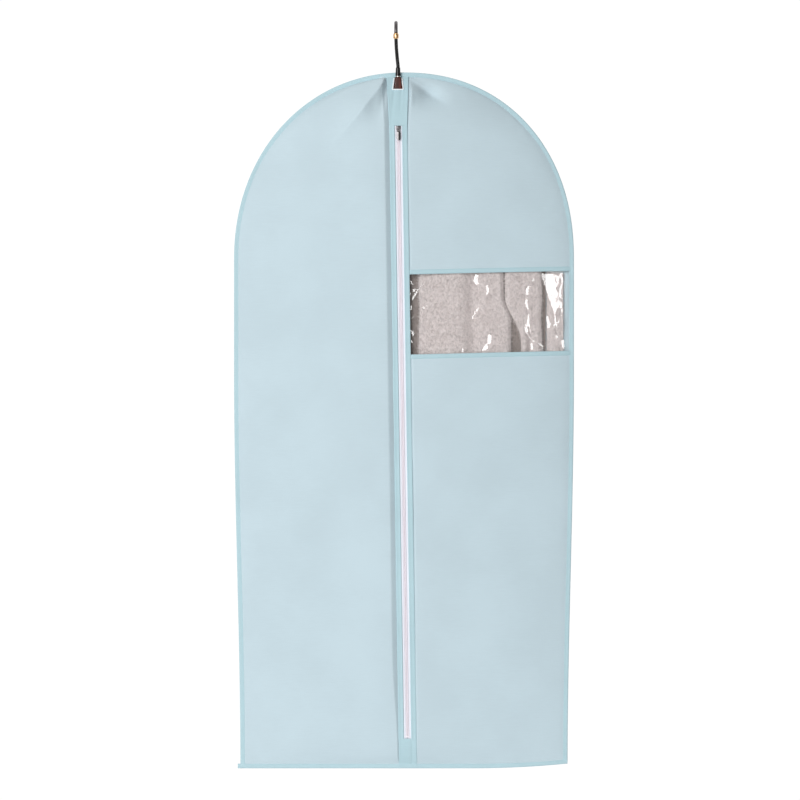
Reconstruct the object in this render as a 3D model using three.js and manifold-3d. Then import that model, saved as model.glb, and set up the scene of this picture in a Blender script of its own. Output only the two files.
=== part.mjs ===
// Garment bag on a wooden hanger with a swivel hook, and a coat inside it.
// Millimetres, +Z up, front of the bag towards -Y. The origin is the hook's seat: the underside of its
// crown, where a rail carries it. The bag is a flat domed envelope. Its cloth pieces are height fields
// over the XZ plane: they all meet at the seam, the edge of the envelope, and bulge between its sides.
import * as THREE from "three";
import { mergeVertices } from "three/addons/utils/BufferGeometryUtils.js";
import Module from "manifold-3d";

const wasm = await Module();
wasm.setup();

// ---- Driving dimensions ----
const GAP = 0.3; // between pieces that touch
const CLOTH = 0.9; // thickness of a cloth piece with its turned edges

const BAG_X = 13.8; // middle of the bag, beside the hook's seat
const BAG_TOP = -81.7;
const BAG_HALF_WIDTH = 293;
const DOME_HEIGHT = 322.4;
const LEFT_FULLNESS = 2.07; // superellipse exponents of the dome's two sides
const RIGHT_FULLNESS = 2.16;
const HEM_Z = -1282;
const HEM_RISE = 7.8; // how far the hem lifts towards its right corner
const HEM_RISE_START = 132;
const HEM_HALF_WIDTH = 282;
const TAPER_START_Z = -600;
const BINDING = 8; // width of the edge bindings
const BINDING_THICKNESS = 3.2;
const EDGE_INSET = BINDING + 1.2; // the panels stop short of the bindings' straight facets
const EAR = 4.5; // end of the bottom binding that stands out past the left side

const SEAM_Y = 2; // plane of the side seams
const CROWN_SEAM_Y = 6.8; // the top edge lies behind the hook's stem
const CROWN_SEAM_END_Z = -300;
const BACK_BULGE_TOP = 16;
const BACK_BULGE_BOTTOM = 12;
const LENS_POWER = 0.75; // 0.5 would be an ellipse, 1 a parabola

const ZIP_TOP = new THREE.Vector3(3.9, -26, -176);
const ZIP_BOTTOM = new THREE.Vector3(19.9, -10, -1230);
const STRIP_HALF_WIDTH = 14.5; // the strip that holds the zip
const STRIP_HALF_WIDTH_TOP = 18;
const FACING_INNER = 6.2; // from the zip's middle to the facing strip's edge
const FACING_TO_COIL = 1.6; // from the facing's outer face back to the coils' middle plane
const TAPE_WIDTH = 9.5;
const TAPE_THICKNESS = 0.6;
const COIL = { inner: 0.5, outer: 3, half: 1 };

const SLOT = { bottomZ: -112, topHalf: 6.2, bottomHalf: 8.9 };
const SLOT_TRIM_RADIUS = 0.7;

const WINDOW = { topZ: -431.7, height: 137.4, rise: 6.9, band: 7.8 };

const AXIS_X = 3.5; // the hook swivels about a vertical axis in the hanger's neck
const NECK = { topZ: -90.8, topHalf: 4.65, midZ: -112, midHalf: 7.4, rootZ: -128, rootHalf: 14 };
const HANGER = { half: 180, thickness: 10, tipZ: -205, tipDrop: 24, undersideZ: -162 };
const BORE_RADIUS = 3.5;
const POCKET = { topZ: -128, bottomZ: -137, half: 6.3 };

const WIRE_RADIUS = 3;
const HOOK_RADIUS = 20; // of the wire's middle line
const WIRE_END_Z = -132.5;
const STEM_TOP_Z = -72;
const TIP_CAP = { topZ: -17.6, bottomZ: -26.9, radius: 4.6 };
const FERRULE = { topZ: -74, bottomZ: -88.5, topRadius: 3.9, bottomRadius: 4.5 };
const WASHER = { topZ: -88.9, bottomZ: -90.5, radius: 4.5 };

const COAT = {
  clearance: 2,
  sliderRoom: 2.2, // further back behind the zip, for its slider
  layer: 2.2,
  neckHalf: 26,
  half: 172,
  neckZ: -129,
  shoulderDrop: 76,
  hemZ: -1030,
  sleeveInner: 178,
  sleeveOuter: 262,
  sleeveTopZ: -232,
  cuffZ: -850,
};

// ---- Colours and finishes ----
const finish = (color, roughness, metalness = 0) => ({ color, roughness, metalness });
const BLUE_CLOTH = finish(0xc4d4dc, 0.75);
const TEAL_BINDING = finish(0xb8d9e0, 0.7);
const CLEAR_FILM = finish(0xeef3f5, 0.08);
const WHITE_TAPE = finish(0xe8e8f4, 0.7);
const WHITE_NYLON = finish(0xf0ecf6, 0.4);
const GUNMETAL = finish(0x4a4340, 0.25, 1);
const NICKEL = finish(0xc8c6c2, 0.2, 1);
const BLACK_METAL = finish(0x1e1c1c, 0.3, 0.8);
const GOLD = finish(0xd09a5c, 0.3, 1);
const MAHOGANY = finish(0x4a1c12, 0.3);
const GREIGE_WOOL = finish(0xc6bcba, 0.95);

const bag = new THREE.Group();

function addNode(name, geometry, material, parent = bag) {
  const mesh = new THREE.Mesh(geometry, new THREE.MeshStandardMaterial(material));
  mesh.name = name;
  parent.add(mesh);
  return mesh;
}

// ---- Solids from meshes ----
function toManifold(geometry) {
  const bare = geometry.clone().deleteAttribute("normal").deleteAttribute("uv");
  const merged = mergeVertices(bare, 1e-4);
  return new wasm.Manifold(
    new wasm.Mesh({
      numProp: 3,
      vertProperties: merged.attributes.position.array,
      triVerts: new Uint32Array(merged.index.array),
    }),
  );
}

function fromManifold(solid) {
  const mesh = solid.getMesh();
  const geometry = new THREE.BufferGeometry();
  geometry.setAttribute("position", new THREE.BufferAttribute(mesh.vertProperties, mesh.numProp));
  geometry.setIndex(new THREE.BufferAttribute(mesh.triVerts, 1));
  return geometry;
}

// A closed solid between two grids of points of one size, front (towards -Y) and back.
// Rows run down the bag, columns run towards +X.
function solidBetween(front, back) {
  const rows = front.length;
  const columns = front[0].length;
  const positions = [...front.flat(), ...back.flat()].flatMap((p) => p.toArray());
  const at = (side, row, column) => (side * rows + row) * columns + column;
  const index = [];
  const quad = (a, b, c, d) => index.push(a, b, c, a, c, d);
  for (let r = 0; r + 1 < rows; r++)
    for (let c = 0; c + 1 < columns; c++) {
      quad(at(0, r, c), at(0, r + 1, c), at(0, r + 1, c + 1), at(0, r, c + 1));
      quad(at(1, r, c), at(1, r, c + 1), at(1, r + 1, c + 1), at(1, r + 1, c));
    }
  for (let r = 0; r + 1 < rows; r++) {
    const right = columns - 1;
    quad(at(0, r, 0), at(1, r, 0), at(1, r + 1, 0), at(0, r + 1, 0));
    quad(at(0, r, right), at(0, r + 1, right), at(1, r + 1, right), at(1, r, right));
  }
  for (let c = 0; c + 1 < columns; c++) {
    const bottom = rows - 1;
    quad(at(0, 0, c), at(0, 0, c + 1), at(1, 0, c + 1), at(1, 0, c));
    quad(at(0, bottom, c), at(1, bottom, c), at(1, bottom, c + 1), at(0, bottom, c + 1));
  }
  const geometry = new THREE.BufferGeometry();
  geometry.setAttribute("position", new THREE.Float32BufferAttribute(positions, 3));
  geometry.setIndex(index);
  return geometry;
}

// ---- The envelope's outline and surfaces ----
const { lerp, smoothstep } = THREE.MathUtils;
const springZ = BAG_TOP - DOME_HEIGHT;

// Distance from the bag's middle to one side (-1 left, 1 right), taken in from the edge by inset.
function halfWidth(z, side, inset = 0) {
  if (z <= springZ) {
    const taper = smoothstep(-z, -TAPER_START_Z, -HEM_Z);
    return lerp(BAG_HALF_WIDTH, HEM_HALF_WIDTH, taper) - inset;
  }
  const power = side < 0 ? LEFT_FULLNESS : RIGHT_FULLNESS;
  const height = Math.min(1, (z - springZ) / (DOME_HEIGHT - inset));
  return (BAG_HALF_WIDTH - inset) * (1 - height ** power) ** (1 / power);
}

const sideX = (z, side, inset = 0) => BAG_X + side * halfWidth(z, side, inset);

// Heights of rows down the dome, at even steps round its curve, from where it is halfTop wide.
function domeRows(halfTop, side, inset, count) {
  const power = side < 0 ? LEFT_FULLNESS : RIGHT_FULLNESS;
  const start = Math.acos((halfTop / (BAG_HALF_WIDTH - inset)) ** (power / 2));
  const heights = [];
  for (let i = 0; i < count; i++) {
    const angle = start * (1 - i / count);
    heights.push(springZ + (DOME_HEIGHT - inset) * Math.sin(angle) ** (2 / power));
  }
  return heights;
}

const hemZ = (x) => HEM_Z + HEM_RISE * Math.max(0, (x - HEM_RISE_START) / 160) ** 2;

const seamY = (z) => lerp(SEAM_Y, CROWN_SEAM_Y, smoothstep(z, CROWN_SEAM_END_Z, BAG_TOP));

function zipX(z) {
  const t = (ZIP_TOP.z - z) / (ZIP_TOP.z - ZIP_BOTTOM.z);
  return lerp(ZIP_TOP.x, ZIP_BOTTOM.x, t);
}

const panelTop = BAG_TOP - BINDING - GAP;
const stripTop = panelTop - 1.6; // clear of the binding's curve
const panelBottom = HEM_Z + BINDING + GAP;
const frontEdgeY = (z) => seamY(z) - BINDING_THICKNESS / 2;
const backEdgeY = (z) => seamY(z) + BINDING_THICKNESS / 2;

// Outer face of the front along the zip's line: straight beside the zip, and closing above and below it.
function zipY(z) {
  const straight = (h) => lerp(ZIP_TOP.y, ZIP_BOTTOM.y, (ZIP_TOP.z - h) / (ZIP_TOP.z - ZIP_BOTTOM.z));
  if (z > ZIP_TOP.z) {
    const rise = Math.min(1, (z - ZIP_TOP.z) / (panelTop - ZIP_TOP.z));
    return lerp(ZIP_TOP.y, frontEdgeY(panelTop), rise ** 2);
  }
  if (z < ZIP_BOTTOM.z) {
    const fall = Math.min(1, (ZIP_BOTTOM.z - z) / (ZIP_BOTTOM.z - panelBottom));
    return lerp(ZIP_BOTTOM.y, frontEdgeY(z), fall ** 2);
  }
  return straight(z);
}

function backMiddleY(z) {
  const closeTop = Math.max(0, (z - ZIP_TOP.z) / (panelTop - ZIP_TOP.z));
  const closeBottom = Math.max(0, (ZIP_BOTTOM.z - z) / (ZIP_BOTTOM.z - panelBottom));
  const along = (ZIP_TOP.z - z) / (ZIP_TOP.z - ZIP_BOTTOM.z);
  const bulge = lerp(BACK_BULGE_TOP, BACK_BULGE_BOTTOM, THREE.MathUtils.clamp(along, 0, 1));
  return backEdgeY(z) + bulge * Math.max(0, 1 - closeTop ** 2) * Math.max(0, 1 - closeBottom ** 2);
}

// 1 on the zip's line, 0 at the binding.
function lens(x, z) {
  const side = x < zipX(z) ? -1 : 1;
  const reach = Math.abs(sideX(z, side, BINDING) - zipX(z));
  const share = Math.min(1, Math.abs(x - zipX(z)) / Math.max(reach, 1));
  return (1 - share ** 2) ** LENS_POWER;
}

const frontY = (x, z) => lerp(frontEdgeY(z), zipY(z), lens(x, z));
const backY = (x, z) => lerp(backEdgeY(z), backMiddleY(z), lens(x, z));

// Half the width of the zip's strip: it widens towards the crown.
function stripHalf(z) {
  const up = Math.max(0, (z - ZIP_TOP.z) / (panelTop - ZIP_TOP.z));
  return lerp(STRIP_HALF_WIDTH, STRIP_HALF_WIDTH_TOP, up);
}

const stripEdge = (z, side) => zipX(z) + side * (stripHalf(z) + GAP);
const clothEdge = (z, side) => sideX(z, side, EDGE_INSET);

// A grid of points over a region whose rows are at the given heights (a number, or a function of x).
function gridOver(heights, leftX, rightX, columns, y) {
  return heights.map((height) => {
    const middle = typeof height === "number" ? height : height(BAG_X);
    const row = [];
    for (let c = 0; c <= columns; c++) {
      const x = lerp(leftX(middle), rightX(middle), c / columns);
      const z = typeof height === "number" ? height : height(x);
      row.push(new THREE.Vector3(x, y(x, z), z));
    }
    return row;
  });
}

function clothPanel(heights, leftX, rightX, columns, outerY, thickness = CLOTH) {
  const outer = gridOver(heights, leftX, rightX, columns, outerY);
  const inner = gridOver(heights, leftX, rightX, columns, (x, z) => outerY(x, z) + thickness);
  return thickness > 0 ? solidBetween(outer, inner) : solidBetween(inner, outer);
}

// Lines between two lines, including the last but not the first.
function linesBetween(from, to, count) {
  const lines = [];
  for (let i = 1; i <= count; i++) lines.push((x) => lerp(from(x), to(x), i / count));
  return lines;
}

// ---- Cloth panels ----
const level = (z) => () => z;
const hemEdge = (x) => hemZ(x) + BINDING + GAP;

// Rows from a line down to the zip's end, where the bag starts to close, and on to the hem.
const linesToHem = (from, count) => [
  ...linesBetween(from, level(ZIP_BOTTOM.z), count),
  ...linesBetween(level(ZIP_BOTTOM.z), hemEdge, 3),
];
const windowLine = (drop) => (x) => WINDOW.topZ - drop + (WINDOW.rise * (x - 19)) / 281;

function buildPanels() {
  const leftDome = domeRows(BAG_X - stripEdge(panelTop, -1) + 3, -1, EDGE_INSET, 12);
  const leftRows = [...leftDome, springZ, ...linesToHem(level(springZ), 8)];
  addNode(
    "left_front_panel",
    clothPanel(leftRows, (z) => clothEdge(z, -1), (z) => stripEdge(z, -1), 8, frontY),
    BLUE_CLOTH,
  );

  const bandTop = windowLine(-WINDOW.band);
  const filmTop = windowLine(0);
  const filmBottom = windowLine(WINDOW.height);
  const bandBottom = windowLine(WINDOW.height + WINDOW.band);
  const lowered = (line, by) => (x) => line(x) - by;
  const rightStart = (z) => stripEdge(z, 1);
  const rightEnd = (z) => clothEdge(z, 1);
  const rightPiece = (name, rows, material) =>
    addNode(name, clothPanel(rows, rightStart, rightEnd, 8, frontY), material);

  const rightDome = domeRows(stripEdge(panelTop, 1) - BAG_X + 3, 1, EDGE_INSET, 12);
  rightPiece("right_front_upper_panel", [...rightDome, springZ, lowered(bandTop, -GAP)], BLUE_CLOTH);
  rightPiece("window_top_band", [bandTop, lowered(filmTop, -GAP)], TEAL_BINDING);
  rightPiece("window_film", [filmTop, ...linesBetween(filmTop, filmBottom, 3)], CLEAR_FILM);
  rightPiece("window_bottom_band", [lowered(filmBottom, GAP), bandBottom], TEAL_BINDING);
  const lowerStart = lowered(bandBottom, GAP);
  rightPiece("right_front_lower_panel", [lowerStart, ...linesToHem(lowerStart, 6)], BLUE_CLOTH);

  const backDome = domeRows(22, -1, EDGE_INSET, 12);
  const backRows = [...backDome, springZ, ...linesToHem(level(springZ), 7)];
  addNode(
    "back_panel",
    clothPanel(backRows, (z) => clothEdge(z, -1), (z) => clothEdge(z, 1), 14, backY, -CLOTH),
    BLUE_CLOTH,
  );
}

// ---- Bindings ----
// A flat band in the seam's plane between two rows of (x, z) points.
function seamBand(outer, inner) {
  const half = BINDING_THICKNESS / 2;
  const place = (p, depth) => new THREE.Vector3(p.x, seamY(p.y) + depth, p.y);
  const face = (depth) => outer.map((p, i) => [place(p, depth), place(inner[i], depth)]);
  return solidBetween(face(-half), face(half));
}

function buildBindings() {
  const bottom = HEM_Z + BINDING + GAP;
  const outline = (inset) => {
    const side = (sign) => {
      const dome = domeRows(12, sign, inset, 14).map((z) => new THREE.Vector2(sideX(z, sign, inset), z));
      const straight = [springZ, -600, -760, -940, -1110, hemEdge(sideX(bottom, sign))].map(
        (z) => new THREE.Vector2(sideX(z, sign, inset), z),
      );
      return [...dome, ...straight];
    };
    return [...side(-1).reverse(), ...side(1)].reverse();
  };
  addNode("edge_binding", seamBand(outline(0), outline(BINDING)), TEAL_BINDING);

  const hemPoints = [sideX(HEM_Z, -1) - EAR];
  for (let i = 0; i <= 8; i++) hemPoints.push(lerp(HEM_RISE_START, sideX(HEM_Z, 1), i / 8));
  addNode(
    "bottom_binding",
    seamBand(
      hemPoints.map((x) => new THREE.Vector2(x, hemZ(x))),
      hemPoints.map((x) => new THREE.Vector2(x, hemZ(x) + BINDING)),
    ),
    TEAL_BINDING,
  );
}

// ---- The strip above and below the zip, and the hanger slot ----
function buildStripEnds() {
  const heights = [];
  for (let i = 0; i <= 10; i++) heights.push(lerp(stripTop, ZIP_TOP.z + GAP, i / 10));
  const left = (z) => zipX(z) - stripHalf(z);
  const right = (z) => zipX(z) + stripHalf(z);
  const strip = clothPanel(heights, left, right, 4, (x, z) => zipY(z));

  const slot = new THREE.Shape([
    new THREE.Vector2(-SLOT.topHalf, 10),
    new THREE.Vector2(-SLOT.topHalf, 0),
    new THREE.Vector2(-SLOT.bottomHalf, SLOT.bottomZ - panelTop),
    new THREE.Vector2(SLOT.bottomHalf, SLOT.bottomZ - panelTop),
    new THREE.Vector2(SLOT.topHalf, 0),
    new THREE.Vector2(SLOT.topHalf, 10),
  ]);
  const cutter = new THREE.ExtrudeGeometry(slot, { depth: 60, bevelEnabled: false });
  cutter.rotateX(Math.PI / 2);
  cutter.translate(AXIS_X, 30, panelTop);
  const cut = toManifold(strip).subtract(toManifold(cutter));
  addNode("placket_top", fromManifold(cut), BLUE_CLOTH);

  const below = [ZIP_BOTTOM.z - GAP, -1246, -1261, hemEdge(0)];
  addNode("placket_bottom", clothPanel(below, left, right, 4, (x, z) => zipY(z)), BLUE_CLOTH);
}

function buildSlotTrim() {
  const offset = SLOT_TRIM_RADIUS + 1.4; // clear of the strip, whose face leans by up to 45 degrees here
  const point = (x, z) => new THREE.Vector3(AXIS_X + x, zipY(z) - offset, z);
  const side = (sign, steps) => {
    const points = [];
    for (let i = 0; i <= steps; i++) {
      const z = lerp(stripTop, SLOT.bottomZ - 0.6, i / steps);
      const half = lerp(SLOT.topHalf, SLOT.bottomHalf, (panelTop - z) / (panelTop - SLOT.bottomZ));
      points.push(point(sign * (half + 1), z));
    }
    return points;
  };
  const route = [...side(-1, 6), point(0, SLOT.bottomZ - 1.4), ...side(1, 6).reverse()];
  addNode("hanger_slot_trim", wireAlong(new THREE.CatmullRomCurve3(route), SLOT_TRIM_RADIUS, 8, 26), TEAL_BINDING);
}

function wireAlong(curve, radius, sides, steps) {
  const section = new THREE.Shape();
  for (let i = 0; i < sides; i++) {
    const angle = (2 * Math.PI * i) / sides;
    const x = radius * Math.cos(angle);
    const y = radius * Math.sin(angle);
    if (i === 0) section.moveTo(x, y);
    else section.lineTo(x, y);
  }
  section.closePath();
  return new THREE.ExtrudeGeometry(section, { steps, extrudePath: curve, bevelEnabled: false });
}

// ---- The zip, in a frame of its own: +Z up along the coils, -Y out of the bag ----
const zipUp = new THREE.Vector3().subVectors(ZIP_TOP, ZIP_BOTTOM).normalize();
const zipLength = ZIP_TOP.distanceTo(ZIP_BOTTOM);

function zipFrame() {
  const frame = new THREE.Group();
  const across = new THREE.Vector3(1, 0, 0).projectOnPlane(zipUp).normalize();
  const inward = new THREE.Vector3().crossVectors(zipUp, across);
  frame.quaternion.setFromRotationMatrix(new THREE.Matrix4().makeBasis(across, inward, zipUp));
  frame.position.copy(ZIP_TOP).addScaledVector(inward, FACING_TO_COIL);
  bag.add(frame);
  return frame;
}

// A box from its lowest to its highest corner.
function boxBetween(low, high) {
  const size = high.map((v, i) => v - low[i]);
  const geometry = new THREE.BoxGeometry(...size);
  geometry.translate(...low.map((v, i) => v + size[i] / 2));
  return geometry;
}

function buildZip(frame) {
  const bottom = -zipLength;
  for (const [side, sign] of [["left", -1], ["right", 1]]) {
    const span = (a, b) => (sign < 0 ? [-b, -a] : [a, b]);
    const strip = (inner, outer, low, high, zLow, zHigh) => {
      const [x0, x1] = span(inner, outer);
      return boxBetween([x0, low, zLow], [x1, high, zHigh]);
    };
    const tapeInner = COIL.outer + GAP;
    const tapeHalf = TAPE_THICKNESS / 2;
    addNode(
      "placket_" + side,
      strip(FACING_INNER, STRIP_HALF_WIDTH, -FACING_TO_COIL, -FACING_TO_COIL + CLOTH, bottom, 0),
      BLUE_CLOTH,
      frame,
    );
    addNode(
      "zip_tape_" + side,
      strip(tapeInner, tapeInner + TAPE_WIDTH, -tapeHalf, tapeHalf, bottom - 3, 5),
      WHITE_TAPE,
      frame,
    );
    addNode(
      "zip_coil_" + side,
      strip(COIL.inner, COIL.outer, -COIL.half, COIL.half, bottom + 6, 0.2),
      WHITE_NYLON,
      frame,
    );
    addNode("zip_top_stop_" + side, strip(0.4, 3, -0.35, COIL.half, 0.6, 4), NICKEL, frame);
  }
  addNode(
    "zip_bottom_stop",
    boxBetween([-COIL.outer, -COIL.half, bottom + 2.5], [COIL.outer, COIL.half, bottom + 5.6]),
    NICKEL,
    frame,
  );
}

// ---- Slider: two plates joined by a thin web that runs between the coils ----
const SLIDER = { z: -5.6, half: 5, halfWidth: 3.9, web: 0.24, plate: 1.4, lip: 0.75 };
const PIVOT = { y: -4.3, z: SLIDER.z + 0.6 };
const PULL = { halfWidth: 3.5, thickness: 1.2, bar: 0.6, hole: 5, holeHalf: 1.7, length: 21.4 };

function buildSlider(frame) {
  const inside = COIL.half + GAP; // from the coils' middle plane to a plate
  const outside = inside + SLIDER.plate;
  const lipX = COIL.outer + GAP;
  const quarter = [
    [SLIDER.web, inside],
    [lipX, inside],
    [lipX, SLIDER.lip],
    [SLIDER.halfWidth, SLIDER.lip],
    [SLIDER.halfWidth, outside - 0.5],
    [SLIDER.halfWidth - 0.5, outside],
  ];
  const upRight = quarter;
  const upLeft = quarter.map(([x, y]) => [-x, y]).reverse();
  const downLeft = quarter.map(([x, y]) => [-x, -y]);
  const downRight = quarter.map(([x, y]) => [x, -y]).reverse();
  const outline = [...upRight, ...upLeft, ...downLeft, ...downRight].map((p) => new THREE.Vector2(...p));
  const body = new THREE.ExtrudeGeometry(new THREE.Shape(outline), {
    depth: 2 * SLIDER.half,
    bevelEnabled: false,
  });
  body.translate(0, 0, SLIDER.z - SLIDER.half);
  addNode("zip_slider_body", body, GUNMETAL, frame);

  // The bridge is an arch in the YZ plane that the pull's bar passes under.
  const foot = outside + GAP;
  const arch = new THREE.Shape([
    new THREE.Vector2(4.2, foot),
    new THREE.Vector2(4.2, 5.9),
    new THREE.Vector2(3.7, 6.4),
    new THREE.Vector2(-2.5, 6.4),
    new THREE.Vector2(-3, 5.9),
    new THREE.Vector2(-3, foot),
    new THREE.Vector2(-1.8, foot),
    new THREE.Vector2(-1.8, 5.4),
    new THREE.Vector2(3, 5.4),
    new THREE.Vector2(3, foot),
  ]);
  const bridge = new THREE.ExtrudeGeometry(arch, { depth: 1.8, bevelEnabled: false });
  const along = new THREE.Vector3(0, 0, 1);
  const out = new THREE.Vector3(0, -1, 0);
  const sideways = new THREE.Vector3().crossVectors(along, out);
  bridge.applyMatrix4(new THREE.Matrix4().makeBasis(along, out, sideways));
  bridge.translate(-0.9 * sideways.x, 0, SLIDER.z);
  addNode("zip_slider_bridge", bridge, GUNMETAL, frame);

  const pull = new THREE.Shape();
  const top = PULL.bar;
  const end = PULL.bar - PULL.length;
  pull.moveTo(-PULL.halfWidth + 1, top);
  pull.lineTo(-PULL.halfWidth, top - 1);
  pull.lineTo(-PULL.halfWidth, end + 2);
  pull.quadraticCurveTo(-PULL.halfWidth, end, 0, end);
  pull.quadraticCurveTo(PULL.halfWidth, end, PULL.halfWidth, end + 2);
  pull.lineTo(PULL.halfWidth, top - 1);
  pull.lineTo(PULL.halfWidth - 1, top);
  pull.closePath();
  const hole = new THREE.Path([
    new THREE.Vector2(-PULL.holeHalf, -PULL.bar),
    new THREE.Vector2(PULL.holeHalf, -PULL.bar),
    new THREE.Vector2(PULL.holeHalf, -PULL.bar - PULL.hole),
    new THREE.Vector2(-PULL.holeHalf, -PULL.bar - PULL.hole),
  ]);
  pull.holes.push(hole);
  const tab = new THREE.ExtrudeGeometry(pull, { depth: PULL.thickness, bevelEnabled: false, curveSegments: 4 });
  tab.rotateX(Math.PI / 2);
  tab.translate(0, PIVOT.y + PULL.thickness / 2, PIVOT.z);
  addNode("zip_pull_tab", tab, GUNMETAL, frame);
}

// ---- Hanger and hook ----
function cylinder(radius, topZ, bottomZ, sides) {
  const geometry = new THREE.CylinderGeometry(radius, radius, topZ - bottomZ, sides);
  geometry.rotateX(Math.PI / 2);
  geometry.translate(AXIS_X, 0, (topZ + bottomZ) / 2);
  return geometry;
}

function buildHanger() {
  const shape = new THREE.Shape();
  const tipBottom = HANGER.tipZ - HANGER.tipDrop;
  const half = (sign) => ({
    neckTop: [sign * NECK.topHalf, NECK.topZ],
    neckMiddle: [sign * NECK.midHalf, NECK.midZ],
    neckRoot: [sign * NECK.rootHalf, NECK.rootZ],
    arm: [sign * 90, -150],
    tip: [sign * HANGER.half, HANGER.tipZ],
    tipEnd: [sign * (HANGER.half + 1), tipBottom],
    armUnder: [sign * 90, -180],
  });
  const left = half(-1);
  const right = half(1);
  shape.moveTo(...left.neckTop);
  shape.lineTo(...left.neckMiddle);
  shape.lineTo(...left.neckRoot);
  shape.quadraticCurveTo(...left.arm, ...left.tip);
  shape.lineTo(...left.tipEnd);
  shape.quadraticCurveTo(...left.armUnder, 0, HANGER.undersideZ);
  shape.quadraticCurveTo(...right.armUnder, ...right.tipEnd);
  shape.lineTo(...right.tip);
  shape.quadraticCurveTo(...right.arm, ...right.neckRoot);
  shape.lineTo(...right.neckMiddle);
  shape.lineTo(...right.neckTop);
  shape.closePath();
  const body = new THREE.ExtrudeGeometry(shape, {
    depth: HANGER.thickness,
    bevelEnabled: false,
    curveSegments: 8,
  });
  body.rotateX(Math.PI / 2);
  body.translate(AXIS_X, HANGER.thickness / 2, 0);
  const bore = toManifold(cylinder(BORE_RADIUS, NECK.topZ + 5, POCKET.topZ - 1, 16));
  const pocket = toManifold(
    boxBetween(
      [AXIS_X - POCKET.half, -HANGER.thickness, POCKET.bottomZ],
      [AXIS_X + POCKET.half, HANGER.thickness, POCKET.topZ],
    ),
  );
  const solid = toManifold(body).subtract(bore).subtract(pocket);
  addNode("hanger_body", fromManifold(solid), MAHOGANY);

  addNode("hanger_washer", ringAt([[WIRE_RADIUS + 0.6, WASHER.bottomZ], [WASHER.radius, WASHER.bottomZ],
    [WASHER.radius, WASHER.topZ], [WIRE_RADIUS + 0.6, WASHER.topZ]]), NICKEL);
}

// A closed (radius, z) profile turned about the swivel axis.
function ringAt(profile, x = AXIS_X, y = 0, sides = 16) {
  const closed = [...profile, profile[0]].map((p) => new THREE.Vector2(...p));
  const geometry = new THREE.LatheGeometry(closed, sides);
  geometry.rotateX(Math.PI / 2);
  geometry.translate(x, y, 0);
  return geometry;
}

function buildHook() {
  const crownZ = WIRE_RADIUS - HOOK_RADIUS; // height of the crown arc's middle
  const route = [
    new THREE.Vector3(AXIS_X, 0, WIRE_END_Z),
    new THREE.Vector3(AXIS_X, 0, -110),
    new THREE.Vector3(AXIS_X, 0, -92),
    new THREE.Vector3(AXIS_X, 0, -82),
    new THREE.Vector3(AXIS_X, 0, STEM_TOP_Z),
    new THREE.Vector3(AXIS_X - 1.2, 0.8, -60),
    new THREE.Vector3(AXIS_X - 2.2, 5.5, -48),
    new THREE.Vector3(AXIS_X - 3, 14.5, -36),
  ];
  for (let i = 0; i <= 12; i++) {
    const angle = lerp(-0.2, Math.PI, i / 12);
    const y = HOOK_RADIUS * Math.cos(angle);
    route.push(new THREE.Vector3(0, y, crownZ + HOOK_RADIUS * Math.sin(angle)));
  }
  const curve = new THREE.CatmullRomCurve3(route, false, "centripetal");
  addNode("hook_wire", wireAlong(curve, WIRE_RADIUS, 10, 52), BLACK_METAL);

  const capMiddle = (TIP_CAP.topZ + TIP_CAP.bottomZ) / 2;
  const cap = [
    [0, TIP_CAP.bottomZ],
    [TIP_CAP.radius * 0.6, TIP_CAP.bottomZ + 0.8],
    [TIP_CAP.radius * 0.93, TIP_CAP.bottomZ + 2.6],
    [TIP_CAP.radius, capMiddle],
    [TIP_CAP.radius * 0.93, TIP_CAP.topZ - 2.4],
    [TIP_CAP.radius * 0.78, TIP_CAP.topZ],
    [0, TIP_CAP.topZ],
  ];
  const capGeometry = new THREE.LatheGeometry(cap.map((p) => new THREE.Vector2(...p)), 16);
  capGeometry.rotateX(Math.PI / 2);
  capGeometry.translate(0, -HOOK_RADIUS, 0);
  addNode("hook_tip_cap", capGeometry, GOLD);

  const inner = WIRE_RADIUS + GAP;
  addNode("hook_ferrule", ringAt([[inner, FERRULE.bottomZ], [FERRULE.bottomRadius, FERRULE.bottomZ],
    [FERRULE.topRadius, FERRULE.topZ], [inner, FERRULE.topZ]]), BLACK_METAL);
  const retainerTop = POCKET.topZ - GAP;
  addNode("hook_retainer", ringAt([[inner, retainerTop - 3], [5.6, retainerTop - 3],
    [5.6, retainerTop], [inner, retainerTop]]), NICKEL);
}

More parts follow.
